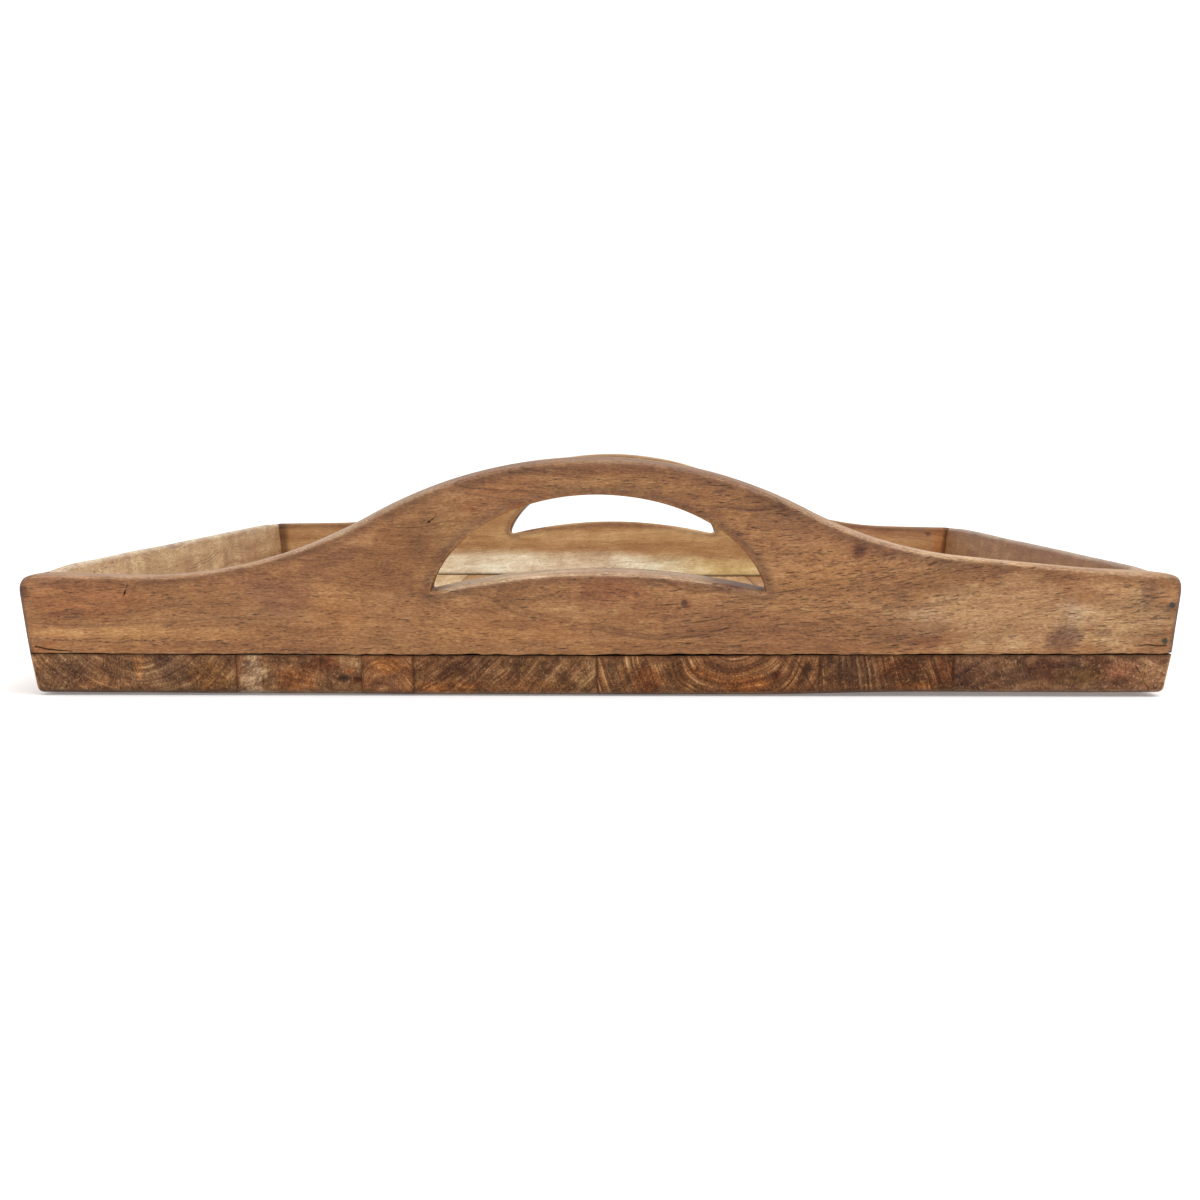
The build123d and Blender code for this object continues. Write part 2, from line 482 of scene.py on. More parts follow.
def thinned(spots, least=0.16):
    """Spots with those dropped that lie almost on an earlier one."""
    kept = []
    grid = {}
    for spot in spots:
        cell = (math.floor(spot[0] / least), math.floor(spot[1] / least))
        near = [other for du in (-1, 0, 1) for dv in (-1, 0, 1)
                for other in grid.get((cell[0] + du, cell[1] + dv), ())]
        if all(math.dist(spot[:2], other[:2]) > least for other in near):
            grid.setdefault(cell, []).append(spot)
            kept.append(spot)
    return kept


def face_skin(board, rings, depth_at, outward, step, extras, seed):
    """Fills one face of a board between its innermost rings with a fine triangle mesh."""
    loops = [[board.points[index][:2] for index in ring] for ring in rings]
    known = [index for ring in rings for index in ring]
    flat = [board.points[index][:2] for index in known]
    edges = []
    start = 0
    for ring in rings:
        count = len(ring)
        edges += [(start + index, start + (index + 1) % count) for index in range(count)]
        start += count
    spots = thinned(extras)
    if spots:
        within = inside(loops, np.array([spot[:2] for spot in spots]))
        spots = clear_of(flat, [spot for spot, kept in zip(spots, within) if kept], 0.2)
    grid = spread(loops, step, flat + [spot[:2] for spot in spots], seed)
    spots += [(u, v, 0.0, 0.0) for u, v in grid]
    for u, v, deep, pit in spots:
        known.append(board.add(u, v, depth_at(u, v, deep), 0.0, pit))
        flat.append((u, v))
    result = delaunay_2d_cdt([Vector(point) for point in flat], edges, [], 0, 1e-6, False)
    if len(result[0]) != len(flat):
        raise RuntimeError(f"a face mesh changed its points: {len(result[0])} for {len(flat)}")
    triangles = np.array(result[2])
    corners = np.array([tuple(point) for point in result[0]])
    middles = corners[triangles].mean(axis=1)
    for triangle in triangles[inside(loops, middles)]:
        trio = [known[index] for index in triangle]
        board.faces.append(trio if outward else trio[::-1])


def flat_face(u, v):
    return 0.0


def slab(loops, thickness, fineness, rows, set_in=flat_face, cuts=(), back_cuts=(), seed=0, turns=5,
         guard=0.45):
    """A board with rounded arrises between two faces; set_in says how far each face is set in."""
    board = Board()
    front_rings, back_rings = [], []

    def ring_at(points, insets, depths, level, from_back):
        share, deep, worn, edge = level
        ring = []
        for (u, v), inset, depth in zip(points, insets, depths):
            place = (u + inset[0] * share, v + inset[1] * share)
            depth_in = set_in(*place) + depth * deep
            if from_back:
                depth_in = thickness - set_in(*place) - depth * deep
            ring.append(board.add(*place, depth_in, worn, 0.0, edge))
        return ring

    for edges in loops:
        points, insets, depths = loop_frame(cleared(edges, guard), seed)
        levels = [(1 + guard / max(0.2, max(depths)) if turn < 0 else 1 - math.sin(turn),
                   1 - math.cos(max(0, turn)), math.sin(2 * max(0, turn)), math.sin(max(0, turn)))
                  for turn in [-1] + [math.pi / 2 * step / turns for step in range(turns + 1)]]
        rings = [ring_at(points, insets, depths, level, False) for level in levels]
        for row in range(1, rows):
            part = row / rows
            ring = []
            for (u, v), depth in zip(points, depths):
                first = set_in(u, v) + depth
                last = thickness - set_in(u, v) - depth
                ring.append(board.add(u, v, first + (last - first) * part, 0.0, 0.0, 1.0))
            rings.append(ring)
        rings += [ring_at(points, insets, depths, level, True) for level in reversed(levels)]
        count = len(points)
        for one, two in zip(rings, rings[1:]):
            for index in range(count):
                after = (index + 1) % count
                board.faces.append([one[index], two[index], two[after], one[after]])
        front_rings.append(rings[0])
        back_rings.append(rings[-1])
    face_skin(board, front_rings, lambda u, v, deep: set_in(u, v) + deep, True,
              face_step[fineness[0]], list(cuts), seed)
    face_skin(board, back_rings, lambda u, v, deep: thickness - set_in(u, v) - deep, False,
              face_step[fineness[1]], list(back_cuts), seed + 1)
    return board


# ---------------------------------------------------------------- hand-made unevenness

def smooth_noise(points, scale, seed):
    """A smooth random vector for each point."""
    start = Vector((17.3 * seed + 0.5, 5.9 * seed + 0.5, 9.1 * seed + 0.5))
    return np.array([noise.noise_vector(Vector(point) / scale + start) for point in points])


def step_up(values, low, high):
    """Smooth step from 0 at low to 1 at high."""
    part = np.clip((values - low) / (high - low), 0, 1)
    return part * part * (3 - 2 * part)


def columns(*values):
    """Points from their coordinates."""
    return np.stack(values, axis=1)


def settled(points):
    """Where points of the tray as drawn, in mm, lie on the hand-made tray."""
    x, y, z = points.T
    moved = points + 0.22 * smooth_noise(points, 70.0, 1) + 0.05 * smooth_noise(points, 16.0, 2)
    above = np.clip((z - base_thickness) / rim_rise, 0, 1.5)
    towards_rear = np.clip((y + tray_end_y) / (2 * tray_end_y), 0, 1)
    # the +X rim lies a little low, more so at the rear
    moved[:, 2] -= above * step_up(x, 90, 190) * (0.3 + 1.5 * towards_rear)
    # the whole tray has bowed down in the middle, the base was planed thinner towards +X, and the
    # floor lies lower at the rear, most of all at +X
    part = x / foot_x
    bow_above = 0.275 + 0.565 * (1 - part ** 2) - 0.175 * part
    bow_below = 0.35 * (1 - part ** 2) - 0.8 * step_up(x, 50, 105)
    share = np.clip(z / base_thickness, 0, 1)
    high_up = np.clip((z - base_thickness) / 20, 0, 1)
    bow_above += (0.5 + 0.9 * step_up(x, -30, 75)) * towards_rear ** 2
    bow_above = (1 - high_up) * bow_above + high_up * 0.6 * np.exp(-(x / 85) ** 4)
    moved[:, 2] -= share * bow_above + (1 - share) * bow_below
    # the rear board's -X shoulder stands a little proud
    moved[:, 2] += 0.45 * above * step_up(-x, 84, 112) * (1 - step_up(-x, 140, 180)) * towards_rear
    return moved


def finish_piece(name, board, place, grain, node, material, paint):
    """Turns a built board into an object that stands for a CAD node."""
    local = np.array(board.points)
    drawn = place(local)
    mesh = bpy.data.meshes.new(name)
    mesh.from_pydata((settled(drawn) * MM).tolist(), [], board.faces)
    mesh.update()
    colours = paint(local, drawn)
    if colours.shape[1] == 3:
        colours = np.concatenate([colours, np.full((len(local), 1), plain_vessels)], axis=1)
    for key, kind, field, values in (("arris", "FLOAT", "value", np.array(board.arris)),
                                     ("pit", "FLOAT", "value", np.array(board.pit)),
                                     ("grain", "FLOAT_VECTOR", "vector", grain(local, drawn)),
                                     ("paint", "FLOAT_COLOR", "color", colours)):
        mesh.attributes.new(key, kind, "POINT").data.foreach_set(field, values.astype(np.float32).ravel())
    mesh.shade_smooth()
    mesh.set_sharp_from_angle(angle=math.radians(38))
    piece = bpy.data.objects.new(name, mesh)
    bpy.context.scene.collection.objects.link(piece)
    mesh.materials.append(material)
    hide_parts(node)
    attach(piece, "root")


# ---------------------------------------------------------------- places

def wall_place(direction, outer_foot):
    """Places board coordinates on a wall whose outer face looks along direction."""
    facing = np.array(direction, float)
    rightwards = np.array([-facing[1], facing[0], 0.0])
    # u runs so that u, v and the outward way make a right-handed set
    outward = facing * splay_cosine + np.array([0, 0, -splay_sine])
    upward = facing * splay_sine + np.array([0, 0, splay_cosine])

    def place(local):
        u, v, d = local.T
        low = np.clip(1 - v / 10, 0, 1)
        sheared = v - d * splay_tangent * low
        foot = facing * outer_foot + np.array([0, 0, base_thickness])
        points = foot + np.outer(u, rightwards) + np.outer(sheared, upward) - np.outer(d, outward)
        # the joint on the base isn't quite closed at the outer face
        gap = seam_gap(u, outer_foot) * np.clip(1 - v / 1.2, 0, 1) * np.clip(1.6 - d / 5, 0, 1)
        points[:, 2] += gap
        return points

    return place


def seam_gap(u, seed):
    """Height of the open joint between a wall and the base along the wall."""
    slow = np.array([noise.noise(Vector((value / 19, seed, 0.5))) for value in u])
    quick = np.array([noise.noise(Vector((value / 3.4, seed, 7.5))) for value in u])
    closed = 1 - 0.6 * (1 - step_up(u, -150, -90)) - 0.25 * step_up(u, 70, 100)
    return np.maximum(0.02, (0.44 + 0.3 * slow + 0.34 * quick) * closed)


def stave_place(local):
    """Places a stave's section coordinates: u = x, v = z, d from the front end."""
    u, v, d = local.T
    return columns(u, d - foot_y, v)


# ---------------------------------------------------------------- materials

class Graph:
    """Short calls that build a material's nodes; each returns an output socket."""

    def __init__(self, name):
        self.material = bpy.data.materials.new(name)
        self.material.use_nodes = True
        self.nodes = self.material.node_tree.nodes
        self.links = self.material.node_tree.links
        self.shader = self.nodes["Principled BSDF"]

    def feed(self, socket, value):
        if isinstance(value, bpy.types.NodeSocket):
            self.links.new(value, socket)
        else:
            socket.default_value = value

    def node(self, kind, inputs, output=0, **settings):
        made = self.nodes.new(kind)
        for key, value in settings.items():
            setattr(made, key, value)
        for key, value in inputs.items():
            self.feed(made.inputs[key], value)
        return made.outputs[output]

    def calc(self, operation, *values):
        return self.node("ShaderNodeMath", dict(enumerate(values)), operation=operation)

    def total(self, start, *terms):
        """start plus each term's weight times how far its value is from a half."""
        result = start
        for weight, value in terms:
            result = self.calc("MULTIPLY_ADD", self.calc("SUBTRACT", value, 0.5), weight, result)
        return result

    def attribute(self, name, output="Fac"):
        return self.node("ShaderNodeAttribute", {}, output, attribute_name=name)

    def split(self, vector):
        made = self.nodes.new("ShaderNodeSeparateXYZ")
        self.feed(made.inputs[0], vector)
        return made.outputs[0], made.outputs[1], made.outputs[2]

    def join(self, x, y, z):
        return self.node("ShaderNodeCombineXYZ", {0: x, 1: y, 2: z})

    def stretch(self, vector, lengths, seed):
        """Coordinates in which a pattern of size 1 has these lengths in mm."""
        scale = tuple(1 / length for length in lengths)
        start = (seed * 3.7, seed * 1.9 + 5, seed * 2.3 + 9)
        return self.node("ShaderNodeVectorMath", {0: vector, 1: scale, 2: start}, operation="MULTIPLY_ADD")

    def noise(self, vector, detail=2.0, roughness=0.55, output="Fac"):
        inputs = {"Vector": vector, "Scale": 1.0, "Detail": detail, "Roughness": roughness}
        return self.node("ShaderNodeTexNoise", inputs, output)

    def line_noise(self, value, detail=3.0, roughness=0.6):
        inputs = {"W": value, "Scale": 1.0, "Detail": detail, "Roughness": roughness}
        return self.node("ShaderNodeTexNoise", inputs, "Fac", noise_dimensions="1D")

    def cells(self, vector, share):
        """Closeness to cell middles, 1 at a middle, in about this share of the cells."""
        made = self.nodes.new("ShaderNodeTexVoronoi")
        self.feed(made.inputs["Vector"], vector)
        made.inputs["Scale"].default_value = 1.0
        red = self.split(made.outputs["Color"])[0]
        chosen = self.calc("LESS_THAN", red, share)
        return self.calc("MULTIPLY", self.between(made.outputs["Distance"], 0.32, 0.19), chosen)

    def between(self, value, low, high, to_low=0.0, to_high=1.0):
        inputs = {"Value": value, "From Min": low, "From Max": high, "To Min": to_low, "To Max": to_high}
        return self.node("ShaderNodeMapRange", inputs, interpolation_type="SMOOTHSTEP")

    def ramp(self, value, stops):
        made = self.nodes.new("ShaderNodeValToRGB")
        elements = made.color_ramp.elements
        while len(elements) < len(stops):
            elements.new(0.5)
        for element, (at, colour) in zip(elements, stops):
            element.position = at
            element.color = (*colour, 1.0)
        self.feed(made.inputs[0], value)
        return made.outputs[0]

    def mix(self, factor, one, two, kind="MIX"):
        return self.node("ShaderNodeMix", {0: factor, 6: one, 7: two}, 2, data_type="RGBA", blend_type=kind)

    def multiplied(self, share, strength, colour, tint):
        """The colour multiplied by a tint, as far as share times strength says."""
        return self.mix(self.calc("MULTIPLY", share, strength), colour, (*tint, 1.0), "MULTIPLY")

    def shade(self, colour, roughness, height, depth, shine=face_shine):
        """Feeds the shader; height is 0 to 1 and depth is its size in metres."""
        self.feed(self.shader.inputs["Specular IOR Level"], shine)
        self.feed(self.shader.inputs["Base Color"], colour)
        self.feed(self.shader.inputs["Roughness"], roughness)
        bump = self.node("ShaderNodeBump", {"Strength": 1.0, "Distance": depth, "Height": height}, "Normal")
        self.feed(self.shader.inputs["Normal"], bump)
        return self.material


WALL_TONES = [(0.0, (0.10, 0.034, 0.011)), (0.3, (0.200, 0.079, 0.027)), (0.55, (0.300, 0.130, 0.046)),
              (0.8, (0.41, 0.210, 0.088)), (1.0, (0.55, 0.33, 0.16))]
END_TONES = [(0.0, (0.030, 0.012, 0.006)), (0.3, (0.103, 0.042, 0.018)), (0.55, (0.202, 0.090, 0.037)),
             (0.8, (0.35, 0.19, 0.086)), (1.0, (0.53, 0.35, 0.20))]


def wood(name, seed, pith, tone=0.5, grain_axis=(1, 0, 0), ring_size=6.0, rings=0.4, fibres=0.85, grits=0.8,
         blotches=0.45, pore_share=0.35, end_tone=0.42, end_rays=0.5, end_rings=0.5, tint=(1, 1, 1),
         end_tint=(1, 1, 1), lines=0.55):
    """Open-pored hardwood whose grain runs along the mesh's grain coordinates (along, across, through)."""
    g = Graph(name)
    grain = g.attribute("grain", "Vector")
    wander = g.noise(g.stretch(grain, (150, 45, 45), seed), 1.0, 0.5, "Color")
    ripple = g.noise(g.stretch(grain, (34, 12, 12), seed + 1), 1.0, 0.5, "Color")
    along, across, through = g.split(grain)
    drift_across, drift_through, _ = g.split(wander)
    ripple_across, ripple_through, _ = g.split(ripple)
    bent_across = g.total(across, (16.0, drift_across), (2.6, ripple_across))
    bent_through = g.total(through, (16.0, drift_through), (2.6, ripple_through))
    bent = g.join(along, bent_across, bent_through)

    # growth rings about the pith
    from_pith_across = g.calc("SUBTRACT", bent_across, pith[0])
    from_pith_through = g.calc("SUBTRACT", bent_through, pith[1])
    radius = g.node("ShaderNodeVectorMath", {0: g.join(from_pith_across, from_pith_through, 0.0)}, "Value",
                    operation="LENGTH")
    ring = g.line_noise(g.calc("MULTIPLY_ADD", radius, 1 / ring_size, seed * 7.3), 3.0, 0.62)
    thin_ring = g.line_noise(g.calc("MULTIPLY_ADD", radius, 1.6 / ring_size, seed * 3.1), 2.0, 0.5)
    in_line = g.between(g.calc("ABSOLUTE", g.calc("SUBTRACT", thin_ring, 0.47)), 0.028, 0.004)
    broken = g.between(g.noise(g.stretch(bent, (45, 8, 8), seed + 2), 2.0), 0.47, 0.60)
    grain_line = g.calc("MULTIPLY", in_line, broken)

    band = g.noise(g.stretch(bent, (110, 8.5, 8.5), seed + 3), 2.5, 0.6)
    streak = g.noise(g.stretch(bent, (26, 1.5, 1.5), seed + 4), 3.0, 0.6)
    fibre = g.noise(g.stretch(bent, (5.0, 0.33, 0.33), seed + 5), 3.0, 0.65)
    blotch = g.noise(g.stretch(grain, (34, 15, 15), seed + 6), 3.0, 0.6)
    cloud = g.noise(g.stretch(grain, (13, 6, 6), seed + 7), 3.0, 0.6)
    grit = g.noise(g.stretch(bent, (1.25, 0.46, 0.46), seed + 16), 1.5, 0.6)

    # vessels: short dark dashes along the grain that lean a little
    shuffle = g.noise(g.stretch(bent, (30, 0.9, 0.9), seed + 15), 1.0)
    shifted = g.total(along, (16.0, shuffle))
    leaning = g.join(shifted, g.calc("MULTIPLY_ADD", along, -vessel_lean, bent_across), bent_through)
    crowd = g.between(g.noise(g.stretch(grain, (42, 16, 16), seed + 8), 2.0), 0.38, 0.62, 0.15, 1.0)
    open_share = g.calc("MULTIPLY", crowd, pore_share)
    long_share = g.calc("MULTIPLY", open_share, g.attribute("paint", "Alpha"))
    short_share = g.calc("MULTIPLY", open_share, 0.6)
    long_pores = g.cells(g.stretch(leaning, (6.0, 0.58, 0.58), seed + 9), long_share)
    short_pores = g.cells(g.stretch(leaning, (2.0, 0.5, 0.5), seed + 10), short_share)
    pores = g.calc("MAXIMUM", long_pores, short_pores)
    flecks = g.cells(g.stretch(leaning, (3.6, 0.55, 0.55), seed + 11), 0.22)

    value = g.total(tone, (0.5, band), (rings, ring), (0.4, streak), (fibres, fibre),
                    (blotches * 0.8, blotch), (0.6, cloud), (grits, grit))
    long_colour = g.ramp(value, WALL_TONES)
    redness = g.between(g.noise(g.stretch(grain, (48, 18, 18), seed + 12), 3.0), 0.35, 0.68)
    long_colour = g.multiplied(redness, blotches, long_colour, (0.93, 0.80, 0.80))
    long_colour = g.multiplied(grain_line, lines, long_colour, (0.42, 0.34, 0.30))
    long_colour = g.mix(g.calc("MULTIPLY", flecks, 0.2), long_colour, (0.56, 0.36, 0.20, 1.0))
    long_colour = g.multiplied(pores, 0.85, long_colour, (0.30, 0.20, 0.15))

    # end grain: rings and rays in section, vessels as dots, a darker thirsty surface
    normal = g.node("ShaderNodeNewGeometry", {}, "Normal")
    axis_share = g.node("ShaderNodeVectorMath", {0: normal, 1: grain_axis}, "Value",
                        operation="DOT_PRODUCT")
    end = g.between(g.calc("ABSOLUTE", axis_share), 0.55, 0.85)
    angle = g.calc("ARCTAN2", from_pith_through, from_pith_across)
    ray = g.noise(g.join(g.calc("MULTIPLY", angle, 34.0), g.calc("MULTIPLY", radius, 0.09),
                         g.calc("MULTIPLY", along, 0.01)), 2.5, 0.7)
    fine_ring = g.line_noise(g.calc("MULTIPLY", radius, 0.75), 3.0, 0.7)
    speckle = g.noise(g.stretch(grain, (6, 0.5, 0.5), seed + 13), 3.0, 0.75)
    mottle = g.noise(g.stretch(grain, (60, 7, 5), seed + 14), 3.0, 0.65)
    fade = g.between(mottle, 0.38, 0.62, 0.25, 1.4)
    ring_lines = g.calc("MULTIPLY_ADD", g.calc("SUBTRACT", fine_ring, 0.5), fade, 0.5)
    end_value = g.total(end_tone, (end_rays * 0.8, ray), (end_rings, ring_lines), (0.9, speckle),
                        (1.05, mottle), (0.6, ring), (0.45, grit))
    end_colour = g.ramp(end_value, END_TONES)
    flake = g.join(g.calc("MULTIPLY", angle, 60.0), g.calc("MULTIPLY", radius, 0.75), 0.0)
    flakes = g.between(g.noise(flake, 1.5), 0.55, 0.72)
    end_colour = g.mix(g.calc("MULTIPLY", flakes, 0.34), end_colour, (0.40, 0.24, 0.12, 1.0))
    end_colour = g.multiplied(redness, 0.5, end_colour, (1.04, 0.86, 0.74))
    end_colour = g.multiplied(pores, 0.55, end_colour, (0.35, 0.28, 0.24))
    long_colour = g.mix(1.0, long_colour, (*tint, 1.0), "MULTIPLY")
    end_colour = g.mix(1.0, end_colour, (*end_tint, 1.0), "MULTIPLY")
    colour = g.mix(end, long_colour, end_colour)

    # what was painted on the mesh: stains, wear, painted highlights and painted shade, painted light on the
    # tray's floor, and the dark of cracks
    colour = g.mix(1.0, colour, g.attribute("paint", "Color"), "MULTIPLY")
    pit = g.attribute("pit")
    ragged = g.calc("MULTIPLY", pit, g.between(fibre, 0.25, 0.6, 0.75, 1.0))
    colour = g.mix(g.calc("MULTIPLY", ragged, 0.85), colour, (0.028, 0.016, 0.012, 1.0))

    arris = g.attribute("arris")
    rough = g.total(0.56, (0.22, cloud), (0.18, fibre))
    rough = g.calc("SUBTRACT", rough, g.calc("MULTIPLY", arris, 0.1))
    height = g.total(0.6, (0.55, fibre), (0.5, streak), (0.3, cloud))
    height = g.calc("SUBTRACT", height, g.calc("MULTIPLY", pores, 0.8))
    height = g.calc("SUBTRACT", height, g.calc("MULTIPLY", grain_line, 0.3))
    shine = g.calc("MULTIPLY_ADD", end, end_shine - face_shine, face_shine)
    return g.shade(colour, rough, height, grain_depth, shine)


# ---------------------------------------------------------------- stains and wear

def segment_distance(spots, run):
    """Distance of each spot from a run of points."""
    nearest = np.full(len(spots), 1e9)
    for start, end in zip(run, run[1:]):
        start, way = np.array(start), np.array(end) - np.array(start)
        part = np.clip(((spots - start) @ way) / (way @ way), 0, 1)
        gap = spots - start - part[:, None] * way
        nearest = np.minimum(nearest, np.hypot(gap[:, 0], gap[:, 1]))
    return nearest


def dab(colours, across, up, waver, spot, where):
    """Multiplies colours in one soft oval: (across, up, half width, half height, tilt, colour)."""
    centre_across, centre_up, wide, high, tilt, colour = spot
    turn = math.radians(tilt)
    one = (across - centre_across) * math.cos(turn) + (up - centre_up) * math.sin(turn)
    two = (up - centre_up) * math.cos(turn) - (across - centre_across) * math.sin(turn)
    reach = np.hypot(one / wide, two / high) + 0.45 * waver
    return tinted(colours, (1 - step_up(reach, 0.55, 1.2)) * where, colour)


def tinted(colours, share, colour):
    """Multiplies colours towards a tint where share is 1."""
    return colours * (1 + share[:, None] * (np.array(colour) - 1))


# ---------------------------------------------------------------- what the front board shows

# Stains on the outer face of the front board: across, up, half width, half height, tilt, colour
front_stains = [
    (-178, 24.0, 14, 1.9, 3, (1.14, 1.16, 1.26)),
    (-177, 21.6, 13, 0.7, 3, (0.78, 0.72, 0.72)),
    (-170, 18, 22, 7, 0, (1.04, 0.93, 0.90)),
    (-151, 17, 5, 4.5, 0, (0.92, 0.84, 0.78)),
    (-168, 12.5, 20, 1.6, 1, (0.86, 0.84, 0.80)),
    (-150, 6.4, 44, 2.4, 0, (1.34, 1.42, 1.38)),
    (-160, 2.2, 34, 1.7, 0, (1.14, 1.14, 1.08)),
    (-182, 1.5, 6, 2.2, 20, (1.0, 0.88, 0.78)),
    (-106, 20, 13, 6.5, -8, (0.82, 0.76, 0.86)),
    (-112, 12.5, 20, 3.0, 4, (0.86, 0.84, 0.88)),
    (-88, 31, 12, 3.0, 24, (0.80, 0.75, 0.80)),
    (-84, 14, 12, 10, 0, (1.12, 1.12, 1.06)),
    (-66, 32, 18, 10, 30, (0.74, 0.66, 0.58)),
    (-52, 42, 13, 9, 30, (0.84, 0.84, 0.80)),
    (-60, 22, 9, 4, -12, (0.86, 0.80, 0.78)),
    (-36, 52, 14, 3.2, 12, (0.86, 0.80, 0.76)),
    (-41, 48.5, 4, 1.5, 0, (0.84, 0.68, 0.60)),
    (-27, 49.5, 3.5, 1.3, 0, (0.84, 0.68, 0.60)),
    (-16, 60.5, 22, 1.6, 0, (0.78, 0.74, 0.72)),
    (6, 56, 26, 3.8, 0, (1.10, 1.20, 1.20)),
    (4, 21, 12, 5.0, 0, (0.88, 0.76, 0.78)),
    (14, 14, 8, 3.0, 10, (0.90, 0.84, 0.82)),
    (-30, 8, 30, 5.0, 0, (1.10, 1.08, 1.02)),
    (10, 3, 30, 2.5, 4, (1.10, 1.10, 1.04)),
    (36, 12, 14, 6.0, 8, (0.86, 0.82, 0.84)),
    (50, 5, 22, 4.0, 4, (0.94, 0.92, 0.92)),
    (28.5, 17.6, 2.6, 2.0, 0, (0.60, 0.46, 0.42)),
    (84.6, 33.7, 3.3, 2.8, 0, (0.74, 0.60, 0.56)),
    (84.4, 33.6, 2.0, 1.8, 0, (0.66, 0.56, 0.52)),
    (60, 44, 12, 5.0, -28, (0.82, 0.80, 0.86)),
    (72, 26, 14, 9.0, 0, (1.06, 1.04, 1.0)),
    (92, 18, 14, 8.0, 0, (1.03, 1.04, 1.08)),
    (100, 10, 15, 8.0, 0, (0.88, 0.88, 0.94)),
    (108, 4.5, 8, 2.2, 12, (0.88, 0.76, 0.72)),
    (95, 33, 14, 2.5, -14, (0.84, 0.80, 0.82)),
    (132, 13, 30, 13, 0, (1.30, 1.56, 1.92)),
    (128, 4, 12, 3.5, 0, (1.08, 1.16, 1.20)),
    (152, 5.5, 6.5, 4.2, 8, (0.62, 0.55, 0.60)),
    (148, 3.5, 2.5, 2.0, 8, (0.80, 0.76, 0.80)),
    (154, 14, 3.5, 6.0, -16, (0.80, 0.76, 0.80)),
    (168, 13, 17, 12, 0, (1.26, 1.50, 1.80)),
    (180, 13, 8, 12, 0, (0.90, 0.92, 0.96)),
    (179, 21, 3.5, 3.0, 60, (0.78, 0.74, 0.76)),
    (-188, 20.5, 2.2, 1.9, 0, (0.48, 0.42, 0.44)),
    (186.2, 16.3, 2.3, 1.9, 20, (0.66, 0.66, 0.72)),
    (184.4, 4.4, 1.9, 1.6, 0, (0.74, 0.72, 0.76)),
]

# Painted light and shade on the rims and the floors of the hand holes, as tints against the faces: across,
# then colours
rim_light_tints = {
    -1: ([-180, -130, -105, -70, -45, 45, 72, 110, 150, 180],
         [(1.18, 1.42, 2.0), (1.36, 1.78, 2.7), (1.48, 2.05, 3.3), (1.26, 1.80, 3.1), (0.90, 1.04, 1.45),
          (0.88, 1.00, 1.35), (1.28, 1.70, 2.5), (1.95, 2.75, 4.3), (1.80, 2.45, 3.6), (1.40, 1.85, 2.6)]),
    1: ([-180, -60, 60, 180], [(0.85, 0.90, 1.05), (1.0, 1.1, 1.3), (1.0, 1.1, 1.3), (0.75, 0.80, 0.95)]),
}
ledge_light_tints = {-1: (1.75, 2.55, 4.2), 1: (1.1, 1.15, 1.2)}

# Stains on the inner face of the rear board
rear_stains = [
    (140, 13.5, 34, 1.8, -5, (1.24, 1.18, 1.10)),
    (146, 21.5, 30, 3.4, -4, (0.88, 0.82, 0.92)),
    (150, 8.5, 26, 2.4, -6, (0.90, 0.86, 0.94)),
    (170.9, 21.2, 1.8, 1.5, 0, (0.45, 0.36, 0.36)),
    (-150, 21.0, 26, 3.0, 5, (0.88, 0.82, 0.80)),
    (-146, 12.0, 30, 2.4, 4, (1.12, 1.10, 1.0)),
]

# Cracks, chips and dark lines in the front board's outer face: run of points, half width, depth, darkness
front_cracks = [
    ([(-154.5, 21.0), (-155.2, 19.2)], 0.34, 0.7, 1.0),
    ([(-153.6, 23.0), (-154.4, 21.2)], 0.16, 0.3, 0.8),
    ([(-151.2, 22.6), (-152.6, 20.6)], 0.14, 0.2, 0.6),
    ([(-55.4, 43.7), (-54.6, 44.4)], 0.5, 0.9, 1.0),
    ([(-54.6, 44.4), (-53.2, 45.4)], 0.24, 0.5, 1.0),
    ([(52.4, 21.7), (54.2, 21.2), (56.2, 20.5)], 0.62, 0.8, 1.0),
    ([(55.6, 20.3), (60, 20.8), (64, 21.5), (69.5, 22.2)], 0.17, 0.25, 0.8),
    ([(28, 10.8), (33, 11.3), (39, 12.2)], 0.24, 0.25, 0.7),
    ([(37.4, 8.2), (40.5, 8.7), (43.8, 9.6)], 0.26, 0.3, 0.8),
    ([(50, 12.5), (56, 13.1)], 0.18, 0.2, 0.6),
    ([(73.7, 24.3), (80, 24.9), (86.3, 25.6)], 0.2, 0.2, 0.6),
    ([(88, 24.2), (93, 25.4), (97, 26.6)], 0.2, 0.2, 0.7),
    ([(82.6, 34.6), (82.2, 33.4), (82.8, 32.2), (84.0, 31.6), (85.4, 31.9)], 0.2, 0.12, 0.45),
    ([(175.4, 3.0), (179, 3.4), (182.4, 3.0), (187.2, 3.1)], 0.24, 0.6, 0.95),
    ([(179.8, 11.7), (183, 12.2), (187.4, 11.9)], 0.16, 0.3, 0.8),
    ([(176.2, 17.6), (178.0, 17.9)], 0.42, 0.3, 0.9),
    ([(177.2, 19.6), (179.6, 19.2)], 0.34, 0.3, 0.75),
    ([(177.9, 21.4), (180.4, 21.2)], 0.34, 0.2, 0.7),
    ([(-187.8, 2.9), (-184.5, 2.3), (-181.2, 1.5), (-177, 1.1), (-173.2, 0.8)], 0.26, 0.7, 1.0),
    ([(-186.4, 10.0), (-176, 9.5), (-165, 9.3), (-152, 10.1)], 0.34, 0.05, 0.38),
    ([(-150, 10.2), (-134, 11.1), (-120.6, 12.1)], 0.26, 0.05, 0.34),
    ([(-50.2, 54.7), (-44, 53.6), (-38.2, 52.6), (-31, 51.6), (-25.3, 51.0), (-18.8, 50.4)],
     0.3, 0.04, 0.42),
    ([(-28.4, 61.6), (-20, 61.8), (-12, 61.5), (-3.9, 61.3)], 0.3, 0.04, 0.45),
]

